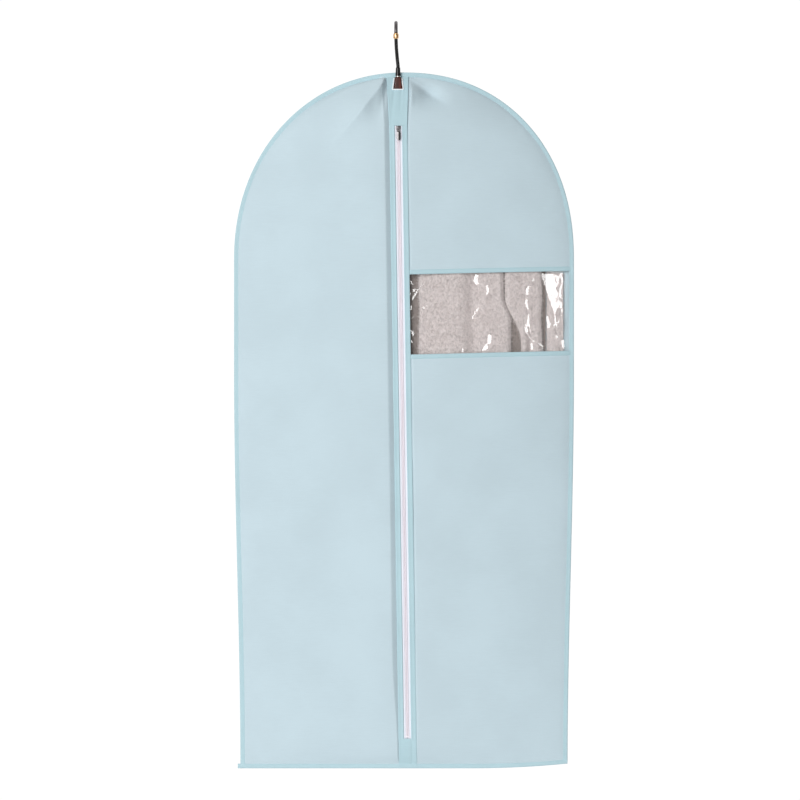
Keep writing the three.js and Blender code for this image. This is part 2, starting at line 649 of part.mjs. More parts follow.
// ---- Coat: front and back layers on either side of the hanger, and two sleeves ----
function buildCoat() {
  const coverFront = (x, z) => frontY(x, z) + CLOTH + COAT.clearance;
  const coverBack = (x, z) => backY(x, z) - CLOTH - COAT.clearance;
  const shoulder = (x) => {
    const out = Math.max(0, Math.abs(x - AXIS_X) - COAT.neckHalf) / (COAT.half - COAT.neckHalf);
    return COAT.neckZ - COAT.shoulderDrop * out;
  };
  const heights = [shoulder, ...linesBetween(shoulder, level(COAT.hemZ), 9)];
  const left = () => AXIS_X - COAT.half;
  const right = () => AXIS_X + COAT.half;
  const sliderRoom = (x, z) => COAT.sliderRoom * Math.exp(-(((x - zipX(z)) / 60) ** 2));
  const frontLayer = (x, z) => coverFront(x, z) + sliderRoom(x, z);
  addNode("coat_front", clothPanel(heights, left, right, 12, frontLayer, COAT.layer), GREIGE_WOOL);
  addNode("coat_back", clothPanel(heights, left, right, 12, coverBack, -COAT.layer), GREIGE_WOOL);

  const sleeveHeights = [COAT.sleeveTopZ, -290, -360, -450, -580, -710, COAT.cuffZ];
  for (const [name, sign] of [["left", -1], ["right", 1]]) {
    const innerX = () => AXIS_X + sign * COAT.sleeveInner;
    const outerX = (z) => BAG_X + sign * Math.min(COAT.sleeveOuter, halfWidth(z, sign, 26));
    const [from, to] = sign < 0 ? [outerX, innerX] : [innerX, outerX];
    const front = gridOver(sleeveHeights, from, to, 4, coverFront);
    const back = gridOver(sleeveHeights, from, to, 4, coverBack);
    addNode("coat_sleeve_" + name, solidBetween(front, back), GREIGE_WOOL);
  }
}

buildPanels();
buildBindings();
buildStripEnds();
buildSlotTrim();
const zip = zipFrame();
buildZip(zip);
buildSlider(zip);
buildHanger();
buildHook();
buildCoat();

export default bag;
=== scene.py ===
"""Garment bag on a wooden hanger, with a coat inside it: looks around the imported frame.

The frame's axes: metres, +Z up, the bag's front towards -Y, the origin at the hook's seat.
The surface functions below work in millimetres, and meshes are made in metres.
"""

import math

import bmesh
import bpy
import numpy as np
from bpy.props import FloatProperty, FloatVectorProperty, IntProperty, PointerProperty
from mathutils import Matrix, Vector, noise


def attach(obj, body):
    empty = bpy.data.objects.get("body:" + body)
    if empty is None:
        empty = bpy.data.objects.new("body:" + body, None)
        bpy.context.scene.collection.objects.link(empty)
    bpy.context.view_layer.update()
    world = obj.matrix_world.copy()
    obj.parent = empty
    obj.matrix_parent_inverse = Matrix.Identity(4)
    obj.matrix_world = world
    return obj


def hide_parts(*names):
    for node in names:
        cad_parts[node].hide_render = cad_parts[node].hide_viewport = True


bl_info = {
    "name": "Garment Bag",
    "version": (1, 0, 0),
    "blender": (4, 5, 0),
    "location": "View3D > Sidebar > Garment Bag",
    "description": "Builds a zipped garment bag with a window on its hanger, and the coat in it",
    "category": "Object",
}

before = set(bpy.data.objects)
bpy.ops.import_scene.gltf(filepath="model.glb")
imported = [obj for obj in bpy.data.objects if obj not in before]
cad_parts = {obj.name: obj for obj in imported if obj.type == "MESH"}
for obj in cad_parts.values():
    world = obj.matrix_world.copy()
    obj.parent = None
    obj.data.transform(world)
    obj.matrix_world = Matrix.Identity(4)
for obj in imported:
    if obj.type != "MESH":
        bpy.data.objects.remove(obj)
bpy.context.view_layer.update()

MM = 0.001

# ---- Sizes of the bag, in millimetres ----
BAG_X = 13.8  # middle of the bag, beside the hook's seat
BAG_TOP = -81.7
BAG_HALF_WIDTH = 293.0
DOME_HEIGHT = 322.4
SPRING_Z = BAG_TOP - DOME_HEIGHT  # where the dome starts
LEFT_FULLNESS = 2.07  # superellipse exponents of the dome's two sides
RIGHT_FULLNESS = 2.16
HEM_Z = -1282.0
HEM_RISE = 7.8
HEM_RISE_START = 132.0
HEM_HALF_WIDTH = 282.0
TAPER_START_Z = -600.0
BINDING = 8.0
BINDING_THICKNESS = 3.2
EAR = 4.5
CLOTH = 0.5  # one layer of the bag's cloth

SEAM_Y = 2.0
CROWN_SEAM_Y = 6.8
CROWN_SEAM_END_Z = -300.0
BACK_BULGE_TOP = 16.0
BACK_BULGE_BOTTOM = 12.0
LENS_POWER = 0.75

ZIP_TOP = np.array([3.9, -26.0, -176.0])
ZIP_BOTTOM = np.array([19.9, -10.0, -1230.0])
STRIP_HALF_WIDTH = 14.5
STRIP_HALF_WIDTH_TOP = 18.0
BOTTOM_STRIP_HALF = 15.3
BOTTOM_STRIP_TOP_Z = -1229.4
FACING_TO_COIL = 1.6
SLOT_BOTTOM_Z = -112.0
SLOT_HEIGHT = 22.0
SLOT_TOP_HALF = 6.2
SLOT_BOTTOM_HALF = 8.9
AXIS_X = 3.5  # the swivel axis of the hook

WINDOW_TOP_Z = -431.7
WINDOW_HEIGHT = 137.4
WINDOW_RISE = 6.9
WINDOW_BAND = 7.8

COIL_HALF_REACH = 1.75
COIL_HALF_DEPTH = 0.95
COIL_HALF_HEIGHT = 0.52  # of the pitch
SLIDER_ACROSS = np.array([1.0, 0.0, 0.0])

PANEL_TOP = BAG_TOP - BINDING - 0.3
STRIP_TOP = PANEL_TOP - 1.6


# ---- The envelope's outline and surfaces ----
def lerp(a, b, t):
    return a + (b - a) * t


def smoothstep(value, low, high):
    t = np.clip((np.asarray(value, float) - low) / (high - low), 0.0, 1.0)
    return t * t * (3.0 - 2.0 * t)


def half_width(z, side, inset=0.0):
    """Distance from the bag's middle to one side (-1 left, 1 right), taken in by inset."""
    z = np.asarray(z, float)
    straight = lerp(BAG_HALF_WIDTH, HEM_HALF_WIDTH, smoothstep(-z, -TAPER_START_Z, -HEM_Z)) - inset
    power = LEFT_FULLNESS if side < 0 else RIGHT_FULLNESS
    height = np.clip((z - SPRING_Z) / (DOME_HEIGHT - inset), 0.0, 1.0)
    dome = (BAG_HALF_WIDTH - inset) * (1.0 - height**power) ** (1.0 / power)
    return np.where(z <= SPRING_Z, straight, dome)


def side_x(z, side, inset=0.0):
    return BAG_X + side * half_width(z, side, inset)


def dome_rows(half_top, side, inset, count):
    """Heights down the dome at even steps round its curve, from where it is half_top wide."""
    power = LEFT_FULLNESS if side < 0 else RIGHT_FULLNESS
    start = math.acos((half_top / (BAG_HALF_WIDTH - inset)) ** (power / 2.0))
    angles = start * (1.0 - np.arange(count) / count)
    return SPRING_Z + (DOME_HEIGHT - inset) * np.sin(angles) ** (2.0 / power)


def hem_z(x):
    return HEM_Z + HEM_RISE * (np.maximum(0.0, np.asarray(x, float) - HEM_RISE_START) / 160.0) ** 2


def seam_y(z):
    return lerp(SEAM_Y, CROWN_SEAM_Y, smoothstep(z, CROWN_SEAM_END_Z, BAG_TOP))


def zip_share(z):
    return (ZIP_TOP[2] - np.asarray(z, float)) / (ZIP_TOP[2] - ZIP_BOTTOM[2])


def zip_x(z):
    return lerp(ZIP_TOP[0], ZIP_BOTTOM[0], zip_share(z))


def front_edge_y(z):
    return seam_y(z) - BINDING_THICKNESS / 2.0


def back_edge_y(z):
    return seam_y(z) + BINDING_THICKNESS / 2.0


def closings(z):
    """How far the bag has closed above and below the zip, from 0 to 1 each."""
    z = np.asarray(z, float)
    rise = np.clip((z - ZIP_TOP[2]) / (PANEL_TOP - ZIP_TOP[2]), 0.0, 1.0)
    bottom = HEM_Z + BINDING + 0.3
    fall = np.clip((ZIP_BOTTOM[2] - z) / (ZIP_BOTTOM[2] - bottom), 0.0, 1.0)
    return rise, fall


def zip_y(z):
    """The front's outer face along the zip's line."""
    rise, fall = closings(z)
    straight = lerp(ZIP_TOP[1], ZIP_BOTTOM[1], np.clip(zip_share(z), 0.0, 1.0))
    up = lerp(straight, front_edge_y(PANEL_TOP), rise**2)
    return lerp(up, front_edge_y(z), fall**2)


def back_middle_y(z):
    rise, fall = closings(z)
    bulge = lerp(BACK_BULGE_TOP, BACK_BULGE_BOTTOM, np.clip(zip_share(z), 0.0, 1.0))
    return back_edge_y(z) + bulge * (1.0 - rise**2) * (1.0 - fall**2)


def lens(x, z):
    """1 on the zip's line, 0 at the binding."""
    middle = zip_x(z)
    reach = np.where(
        x < middle,
        middle - side_x(z, -1, BINDING),
        side_x(z, 1, BINDING) - middle,
    )
    share = np.clip(np.abs(x - middle) / np.maximum(reach, 1.0), 0.0, 1.0)
    return (1.0 - share**2) ** LENS_POWER


def front_y(x, z):
    return lerp(front_edge_y(z), zip_y(z), lens(x, z))


def back_y(x, z):
    return lerp(back_edge_y(z), back_middle_y(z), lens(x, z))


def strip_half(z):
    rise, _ = closings(z)
    return lerp(STRIP_HALF_WIDTH, STRIP_HALF_WIDTH_TOP, rise)


def strip_edge(z, side):
    return zip_x(z) + side * (strip_half(z) + 0.3)


def window_line(drop):
    return lambda x: WINDOW_TOP_Z - drop + WINDOW_RISE * (np.asarray(x, float) - 19.0) / 281.0


def waves(x, z, size, seed, octaves=2):
    """Smooth noise from -1 to 1 over the bag's front, of that size in millimetres."""
    flat_x, flat_z = np.ravel(x), np.ravel(z)
    values = [
        noise.fractal(Vector((a / size, seed * 7.31, b / size)), 1.0, 2.0, octaves)
        for a, b in zip(flat_x, flat_z)
    ]
    return np.reshape(values, np.shape(x))


# ---- Relief of the front cloth: how far it stands out of the plain surface ----
def ridge(x, z, start, end, height, wide, steep):
    """A fold from start to end, gentle on its upper left side and steep on its lower right side."""
    along = np.array(end, float) - np.array(start, float)
    length = np.hypot(*along)
    along /= length
    dx, dz = x - start[0], z - start[1]
    t = (dx * along[0] + dz * along[1]) / length
    across = dx * along[1] - dz * along[0]
    profile = np.where(across < 0, np.exp(-((across / wide) ** 2)), np.exp(-((across / steep) ** 2)))
    fade = smoothstep(t, -0.12, 0.1) * (1.0 - smoothstep(t, 0.35, 1.1))
    return height * profile * fade


def crease(x, z, start, end, height, right, left):
    """A sharp-crested fold from start to end; right and left are its flanks' widths, seen from start."""
    along = np.array(end, float) - np.array(start, float)
    length = np.hypot(*along)
    along /= length
    dx, dz = x - start[0], z - start[1]
    t = (dx * along[0] + dz * along[1]) / length
    across = dx * along[1] - dz * along[0] + 2.5 * np.sin(t * 3.0)
    width = np.where(across < 0, left, right) * (0.55 + 0.6 * np.clip(t, 0.0, 1.2))
    profile = np.exp(-(np.sqrt(across * across + 2.2) - 1.48) / width)
    fade = smoothstep(t, -0.1, 0.08) * (1.0 - smoothstep(t, 0.45, 1.15))
    return height * profile * fade


def left_roll(x, z, height):
    """The left panel stands proud of the zip's strip and rolls down to it."""
    away = np.maximum(strip_edge(z, -1) - x, 0.0)
    closing = 1.0 - 0.7 * smoothstep(-z, 1080.0, 1250.0)
    width = 9.5 * closing
    share = np.clip(away / width, 0.0, 1.0)
    round_edge = 1.0 - (1.0 - share) ** 1.25 * (1.0 + 0.25 * share)
    fade = np.exp(-((np.maximum(away - width, 0.0) / 75.0) ** 2))
    top = 1.0 - 0.35 * smoothstep(z, -112.0, PANEL_TOP) + 0.5 * np.exp(-(((z + 132.0) / 26.0) ** 2))
    return height * closing * top * round_edge * fade - 0.9 * (1.0 - share)


def right_tuck(x, z):
    """The right panel's edge goes down beside the strip."""
    away = np.maximum(x - strip_edge(z, 1), 0.0)
    deep = 1.7 + 2.1 * smoothstep(z, -230.0, -120.0) - 0.9 * smoothstep(-z, 900.0, 1150.0)
    return -deep * np.exp(-((away / 2.4) ** 2))


def neck_folds(x, z, fold):
    """Folds that run from the hanger's neck, down to nothing at the strip's edges."""
    folds = crease(x, z, (-13.0, -88.0), (-106.0, -206.0), fold, 13.0, 22.0)
    folds = folds + crease(x, z, (17.0, -88.0), (92.0, -136.0), 0.3 * fold, 22.0, 15.0)
    folds = folds - ridge(x, z, (-15.0, -93.0), (-26.0, -160.0), 0.45 * fold, 9.0, 7.0)
    hollow = np.exp(-(((x - 57.0) / 25.0) ** 2)) * np.exp(-(((z + 126.0) / 19.0) ** 2))
    beside_slot = np.exp(-(((x - 24.0) / 22.0) ** 2)) * np.exp(-(((z + 117.0) / 20.0) ** 2))
    right = (beside_slot - hollow * smoothstep(x, 20.0, 34.0)) * (x > zip_x(z))
    below_fold = np.exp(-(((x + 33.0) / 17.0) ** 2)) * np.exp(-(((z + 140.0) / 30.0) ** 2))
    folds = folds + fold * (0.75 * right - 0.42 * below_fold)
    folds = folds - ridge(-x, z, (-21.0, -93.0), (-92.0, -140.0), 0.6 * fold, 9.0, 13.0)
    from_strip = np.maximum(strip_edge(z, -1) - x, x - strip_edge(z, 1))
    return folds * smoothstep(from_strip, -0.5, 7.0)


def front_relief(x, z):
    """Folds and hollows of the front, outwards, in millimetres."""
    cloth = bpy.context.scene.garment_cloth
    relief = cloth.undulation / MM * waves(x, z, 150.0, 1, 2)
    relief = relief + np.where(x < zip_x(z), left_roll(x, z, cloth.roll_height / MM), right_tuck(x, z))
    relief = relief + neck_folds(x, z, cloth.fold_height / MM)
    side = np.where(x < zip_x(z), -1, 1)
    to_rim = np.where(side < 0, x - side_x(z, -1, BINDING), side_x(z, 1, BINDING) - x)
    to_rim = np.minimum(to_rim, z - hem_z(x) - BINDING)
    around = np.where(z > SPRING_Z, np.arctan2(z - SPRING_Z, x - BAG_X) * 290.0, z)
    puckers = np.sin(around / 5.5 + 1.7 * np.sin(around / 37.0)) * np.sin(around / 61.0 + 0.8)
    relief = relief + cloth.pucker_height / MM * puckers * np.exp(-((to_rim / 17.0) ** 2))
    at_rim = smoothstep(to_rim, -2.0, 14.0)
    tuck = 0.9 * (1.0 - smoothstep(to_rim, -2.5, 0.5))
    return relief * (0.12 + 0.88 * at_rim) - tuck


def front_surface(x, z):
    return front_y(x, z) - front_relief(x, z)


def back_surface(x, z):
    folds = 1.4 * waves(x, z, 190.0, 5, 2)
    side = np.minimum(x - side_x(z, -1, BINDING), side_x(z, 1, BINDING) - x)
    rim = smoothstep(np.minimum(side, z - hem_z(x) - BINDING), -2.0, 26.0)
    tuck = 0.9 * (1.0 - smoothstep(side, -2.5, 0.5))
    return back_y(x, z) + folds * rim - tuck


# ---- Meshes ----
def mesh_object(name, points, faces, material, smooth=True):
    """A piece from points in millimetres; its object sits at the origin."""
    mesh = bpy.data.meshes.new(name)
    mesh.from_pydata((np.asarray(points, float) * MM).tolist(), [], faces)
    mesh.validate()
    mesh.polygons.foreach_set("use_smooth", [smooth] * len(mesh.polygons))
    mesh.materials.append(material)
    piece = bpy.data.objects.new(name, mesh)
    bpy.context.scene.collection.objects.link(piece)
    return piece


def settle(piece, sharp=math.radians(50)):
    """Turns a piece's modifiers into plain mesh."""
    depsgraph = bpy.context.evaluated_depsgraph_get()
    made = bpy.data.meshes.new_from_object(
        piece.evaluated_get(depsgraph), preserve_all_data_layers=True, depsgraph=depsgraph
    )
    old = piece.data
    piece.modifiers.clear()
    piece.data = made
    bpy.data.meshes.remove(old)
    made.name = piece.name
    made.set_sharp_from_angle(angle=sharp)
    return piece


def grid_faces(rows, columns, flip=False, keep=None):
    """Quads of a grid whose rows run down and columns towards +X, facing the front."""
    index = np.arange(rows * columns).reshape(rows, columns)
    quads = np.stack([index[:-1, :-1], index[1:, :-1], index[1:, 1:], index[:-1, 1:]], axis=-1)
    if keep is not None:
        quads = quads[keep]
    quads = quads.reshape(-1, 4)
    return (quads[:, ::-1] if flip else quads).tolist()


def cloth_sheet(name, x, z, y, material, thickness=CLOTH, back=False, keep=None):
    """A closed sheet over grids of x, z and y. It thickens into the bag."""
    points = np.stack([x, y, z], axis=-1).reshape(-1, 3)
    piece = mesh_object(name, points, grid_faces(*x.shape, flip=back, keep=keep), material)
    shell = piece.modifiers.new("Thickness", "SOLIDIFY")
    shell.thickness = thickness * MM
    shell.offset = -1.0
    return settle(piece)


def spread(left, right, count, gather):
    """Columns from left to right that gather towards the right (gather above 0) or left (below 0)."""
    t = np.linspace(0.0, 1.0, count + 1)
    t = 1.0 - (1.0 - t) ** (1.0 + gather) if gather >= 0 else t ** (1.0 - gather)
    return lerp(np.asarray(left)[:, None], np.asarray(right)[:, None], t[None, :])


def sheet_grid(levels, left, right, count, gather):
    """x and z grids over rows; a row is a height or a function of x."""
    middles = np.array([row if np.isscalar(row) else float(row(BAG_X)) for row in levels])
    x = spread(left(middles), right(middles), count, gather)
    z = np.stack(
        [np.full(x.shape[1], row) if np.isscalar(row) else row(x[i]) for i, row in enumerate(levels)]
    )
    return x, z


def lines_between(upper, lower, count):
    """Rows between two lines, the last included."""

    def line(share):
        return lambda x: lerp(upper(x), lower(x), share)

    return [line((i + 1) / count) for i in range(count)]


def level(z):
    return lambda x: np.full(np.shape(x), float(z))


def hem_under(x):
    """The cloth ends under the bottom binding."""
    return hem_z(x) + 3.0


def rows_to_hem(start, count):
    rows = lines_between(start, level(ZIP_BOTTOM[2]), count)
    return rows + lines_between(level(ZIP_BOTTOM[2]), hem_under, 16)


def swept(name, path, outline, material, closed_ends=True, across=None):
    """A ring outline, in millimetres (N, 2), carried along a path. across fixes its first axis."""
    path = np.asarray(path, float)
    tangents = np.gradient(path, axis=0)
    tangents /= np.linalg.norm(tangents, axis=1)[:, None]
    rings = []
    first = None
    for i, tangent in enumerate(tangents):
        if across is not None:
            first = np.asarray(across[i] if np.ndim(across) == 2 else across, float)
        elif first is None:
            first = np.cross(tangent, [0.0, 1.0, 0.0] if abs(tangent[1]) < 0.9 else [1.0, 0.0, 0.0])
        first = first - tangent * np.dot(first, tangent)
        first /= np.linalg.norm(first)
        second = np.cross(tangent, first)
        shape = outline[i] if np.ndim(outline) == 3 else outline
        rings.append(path[i] + shape[:, :1] * first + shape[:, 1:] * second)
    sides = rings[0].shape[0]
    count = len(rings)
    faces = []
    for i in range(count - 1):
        for k in range(sides):
            n = (k + 1) % sides
            faces.append((i * sides + k, i * sides + n, (i + 1) * sides + n, (i + 1) * sides + k))
    if closed_ends:
        faces.append(tuple(reversed(range(sides))))
        faces.append(tuple(range((count - 1) * sides, count * sides)))
    piece = mesh_object(name, np.concatenate(rings), faces, material)
    face_out(piece)
    return piece


def face_out(piece):
    """Recalculates a closed piece's normals so that they point out of it."""
    work = bmesh.new()
    work.from_mesh(piece.data)
    bmesh.ops.remove_doubles(work, verts=work.verts, dist=1e-7)
    bmesh.ops.recalc_face_normals(work, faces=work.faces)
    if work.calc_volume(signed=True) < 0:
        bmesh.ops.reverse_faces(work, faces=work.faces)
    work.to_mesh(piece.data)
    work.free()
    piece.data.set_sharp_from_angle(angle=math.radians(50))


def circle(radius, sides):
    angles = 2.0 * math.pi * np.arange(sides) / sides
    return np.stack([radius * np.cos(angles), radius * np.sin(angles)], axis=-1)


def smooth_path(points, per_step):
    """Points along a Catmull-Rom curve through the given ones."""
    points = np.asarray(points, float)
    padded = np.vstack([2 * points[0] - points[1], points, 2 * points[-1] - points[-2]])
    steps = np.linspace(0.0, 1.0, per_step, endpoint=False)[:, None]
    pieces = []
    for i in range(len(points) - 1):
        a, b, c, d = padded[i : i + 4]
        pieces.append(
            0.5
            * (
                2 * b
                + (c - a) * steps
                + (2 * a - 5 * b + 4 * c - d) * steps**2
                + (3 * b - a - 3 * c + d) * steps**3
            )
        )
    return np.vstack([*pieces, points[-1:]])


def turned(name, profile, material, x=AXIS_X, y=0.0, sides=40):
    """A closed or axis-ended (radius, z) profile turned about a vertical axis."""
    profile = np.asarray(profile, float)
    angles = 2.0 * math.pi * np.arange(sides) / sides
    rings = [[(x + r * math.cos(a), y + r * math.sin(a), z) for r, z in profile] for a in angles]
    count = len(profile)
    on_axis = profile[0][0] < 1e-6
    faces = []
    for i in range(sides):
        n = (i + 1) % sides
        for k in range(count if not on_axis else count - 1):
            m = (k + 1) % count
            faces.append((i * count + k, n * count + k, n * count + m, i * count + m))
    piece = mesh_object(name, np.concatenate(rings), faces, material)
    face_out(piece)
    return piece


def plate(name, outline, thickness, bevel, material, holes=(), resolution=3):
    """A flat plate with rounded edges. Its outline lies in the local XZ plane, its middle at y = 0."""
    curve = bpy.data.curves.new(name, "CURVE")
    curve.dimensions = "2D"
    curve.fill_mode = "BOTH"
    curve.extrude = (thickness / 2.0 - bevel) * MM
    curve.bevel_depth = bevel * MM
    curve.bevel_resolution = resolution
    curve.offset = -bevel * MM
    for loop in [outline, *holes]:
        spline = curve.splines.new("POLY")
        spline.points.add(len(loop) - 1)
        for point, (a, b) in zip(spline.points, loop):
            point.co = (a * MM, b * MM, 0.0, 1.0)
        spline.use_cyclic_u = True
    maker = bpy.data.objects.new(name, curve)
    bpy.context.scene.collection.objects.link(maker)
    bpy.context.view_layer.update()
    mesh = bpy.data.meshes.new_from_object(maker.evaluated_get(bpy.context.evaluated_depsgraph_get()))
    bpy.data.objects.remove(maker)
    bpy.data.curves.remove(curve)
    points = np.zeros(len(mesh.vertices) * 3)
    mesh.vertices.foreach_get("co", points)
    points = points.reshape(-1, 3)
    mesh.vertices.foreach_set("co", np.stack([points[:, 0], points[:, 2], points[:, 1]], axis=-1).ravel())
    mesh.materials.clear()
    mesh.materials.append(material)
    mesh.polygons.foreach_set("use_smooth", [True] * len(mesh.polygons))
    piece = bpy.data.objects.new(name, mesh)
    bpy.context.scene.collection.objects.link(piece)
    face_out(piece)
    return piece


def rounded(points, radius, steps=5):
    """A closed outline with its corners rounded."""
    points = [np.array(p, float) for p in points]
    result = []
    for i, corner in enumerate(points):
        before = points[i - 1] - corner
        after = points[(i + 1) % len(points)] - corner
        reach = min(radius, 0.45 * np.linalg.norm(before), 0.45 * np.linalg.norm(after))
        a = corner + before / np.linalg.norm(before) * reach
        b = corner + after / np.linalg.norm(after) * reach
        for t in np.linspace(0.0, 1.0, steps):
            result.append((1 - t) ** 2 * a + 2 * t * (1 - t) * corner + t**2 * b)
    return result


# ---- The zip's own frame: x across, y into the bag, z up along the coils ----
ZIP_UP = (ZIP_TOP - ZIP_BOTTOM) / np.linalg.norm(ZIP_TOP - ZIP_BOTTOM)
ZIP_ACROSS = np.array([1.0, 0.0, 0.0]) - ZIP_UP * ZIP_UP[0]
ZIP_ACROSS /= np.linalg.norm(ZIP_ACROSS)
ZIP_IN = np.cross(ZIP_UP, ZIP_ACROSS)
ZIP_ORIGIN = ZIP_TOP + ZIP_IN * FACING_TO_COIL
ZIP_LENGTH = float(np.linalg.norm(ZIP_TOP - ZIP_BOTTOM))


def zip_point(points):
    """Points in the zip's frame, in millimetres, to the bag's."""
    points = np.asarray(points, float)
    return ZIP_ORIGIN + points[..., :1] * ZIP_ACROSS + points[..., 1:2] * ZIP_IN + points[..., 2:] * ZIP_UP


def into_zip(piece):
    """Moves a mesh made in the zip's frame to its place on the bag."""
    points = np.zeros(len(piece.data.vertices) * 3)
    piece.data.vertices.foreach_get("co", points)
    placed = zip_point(points.reshape(-1, 3) / MM) * MM
    piece.data.vertices.foreach_set("co", placed.ravel())
    piece.data.update()
    return piece


def joined(name, parts):
    """One mesh of several; the first one's name is replaced."""
    work = bmesh.new()
    for part in parts:
        work.from_mesh(part.data)
    mesh = bpy.data.meshes.new(name)
    work.to_mesh(mesh)
    work.free()
    for material in parts[0].data.materials:
        mesh.materials.append(material)
    mesh.polygons.foreach_set("use_smooth", [True] * len(mesh.polygons))
    mesh.set_sharp_from_angle(angle=math.radians(40))
    for part in parts:
        bpy.data.objects.remove(part)
    piece = bpy.data.objects.new(name, mesh)
    bpy.context.scene.collection.objects.link(piece)
    return piece


def on_body(piece, body, slot, *nodes):
    """Rides piece on a body and stands for CAD nodes, which it hides. Its slot is not used."""
    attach(piece, body)
    if nodes:
        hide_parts(*nodes)
    return piece


# ---- Materials ----
class Value:
    """A number that varies over a surface; arithmetic on it adds Math nodes."""

    def __init__(self, finish, socket):
        self.finish = finish
        self.socket = socket

    def _math(self, operation, a, b=None):
        inputs = {0: a} if b is None else {0: a, 1: b}
        return self.finish.add("ShaderNodeMath", {"operation": operation}, inputs)

    def __add__(self, other):
        return self._math("ADD", self, other)

    __radd__ = __add__

    def __sub__(self, other):
        return self._math("SUBTRACT", self, other)

    def __rsub__(self, other):
        return self._math("SUBTRACT", other, self)

    def __mul__(self, other):
        return self._math("MULTIPLY", self, other)

    __rmul__ = __mul__

    def __truediv__(self, other):
        return self._math("DIVIDE", self, other)

    def __pow__(self, other):
        return self._math("POWER", self, other)

    def __abs__(self):
        return self._math("ABSOLUTE", self)

    def sine(self):
        return self._math("SINE", self)

    def above(self, limit, soft):
        """0 below limit, 1 above limit + soft, and smooth between."""
        inputs = {"Value": self, "From Min": limit, "From Max": limit + soft}
        return self.finish.add("ShaderNodeMapRange", {"interpolation_type": "SMOOTHSTEP"}, inputs)


class Finish:
    """Builds one material out of nodes."""

    def __init__(self, name):
        self.material = bpy.data.materials.new(name)
        self.material.use_nodes = True
        self.tree = self.material.node_tree
        self.tree.nodes.clear()
        self.place = self.add("ShaderNodeTexCoord", out="Object")
        apart = self.node("ShaderNodeSeparateXYZ", {}, {0: self.place})
        self.x, self.y, self.z = (Value(self, apart.outputs[i]) for i in range(3))

    def node(self, kind, settings, inputs):
        made = self.tree.nodes.new(kind)
        for key, value in settings.items():
            if key == "stops":
                ramp = made.color_ramp
                while len(ramp.elements) < len(value):
                    ramp.elements.new(0.5)
                for element, (position, color) in zip(ramp.elements, value):
                    element.position = position
                    element.color = (*color, 1.0)
            else:
                setattr(made, key, value)
        for key, value in inputs.items():
            socket = made.inputs[key]
            if isinstance(value, Value):
                self.tree.links.new(value.socket, socket)
            elif socket.type == "RGBA":
                socket.default_value = (*value[:3], 1.0)
            else:
                socket.default_value = value
        return made

    def add(self, kind, settings=None, inputs=None, out=0):
        return Value(self, self.node(kind, settings or {}, inputs or {}).outputs[out])

    def noise(self, scale, detail=2.0, vector=None, roughness=0.5):
        inputs = {"Vector": vector or self.place, "Scale": scale, "Detail": detail, "Roughness": roughness}
        return self.add("ShaderNodeTexNoise", {}, inputs)

    def stretched(self, scale):
        """The place with its axes scaled, for streaks and grain."""
        return self.add("ShaderNodeMapping", {}, {"Vector": self.place, "Scale": scale})

    def mix(self, share, a, b):
        """Colour a to colour b."""
        inputs = {0: share, 6: a, 7: b}
        return self.add("ShaderNodeMix", {"data_type": "RGBA"}, inputs, out=2)

    def bump(self, height, distance, strength=1.0, normal=None):
        inputs = {"Height": height, "Distance": distance, "Strength": strength}
        if normal is not None:
            inputs["Normal"] = normal
        return self.add("ShaderNodeBump", {}, inputs)

    def surface(self, **inputs):
        names = {key.replace("_", " "): value for key, value in inputs.items()}
        return self.add("ShaderNodeBsdfPrincipled", {}, names)

    def done(self, shader):
        self.node("ShaderNodeOutputMaterial", {}, {"Surface": shader})
        return self.material


def shade(color, share):
    return tuple(c * share for c in color[:3])


def weave(finish, pitch):
    """A plain weave in the bag's own plane, from 0 to 1."""
    turn = 2.0 * math.pi / pitch
    warp = (finish.x * turn).sine()
    weft = (finish.z * turn).sine()
    return (warp * weft) * 0.5 + 0.5


def cloth_finish(name, color, pitch, sheen=0.15):
    finish = Finish(name)
    threads = weave(finish, pitch)
    cloudy = finish.noise(9.0, 3.0)
    slub = finish.noise(1.0, 2.0, finish.stretched((60.0, 60.0, 900.0)))
    tone = cloudy * 0.7 + slub * 0.3
    color_mix = finish.mix(tone.above(0.3, 0.4), shade(color, 0.965), shade(color, 1.03))
    color_mix = finish.mix(threads * 0.10, color_mix, shade(color, 0.8))
    fine = finish.noise(130.0, 3.0)
    height = threads * 0.5 + slub * 0.35 + fine * 0.5
    normal = finish.bump(height, 0.00011, 0.6)
    normal = finish.bump(finish.noise(24.0, 2.0), 0.0011, 0.35, normal)
    rough = fine * 0.12 + 0.70
    shader = finish.surface(
        Base_Color=color_mix, Roughness=rough, Normal=normal, Sheen_Weight=sheen, Sheen_Roughness=0.5
    )
    return finish.done(shader)


def thread_finish(name, color):
    finish = Finish(name)
    twist = ((finish.x + finish.z) * (2.0 * math.pi / 0.0006)).sine() * 0.5 + 0.5
    colors = finish.mix(twist, shade(color, 0.9), shade(color, 1.06))
    shader = finish.surface(Base_Color=colors, Roughness=0.55, Normal=finish.bump(twist, 0.00006, 0.5))
    return finish.done(shader)


def film_finish(name, reflectance):
    finish = Finish(name)
    clear = finish.add("ShaderNodeBsdfTransparent", {}, {"Color": (0.998, 0.998, 0.998)})
    fine = finish.noise(55.0, 2.0)
    normal = finish.bump(fine, 0.0004, 0.12)
    gloss = finish.surface(Base_Color=(1.0, 1.0, 1.0), Metallic=1.0, Roughness=0.07, Normal=normal)
    facing = finish.add("ShaderNodeLayerWeight", {}, {"Blend": 0.5}, out=1)
    share = facing ** 5.0 * (0.95 - reflectance) + reflectance
    shader = finish.add("ShaderNodeMixShader", {}, {0: share, 1: clear, 2: gloss})
    return finish.done(shader)


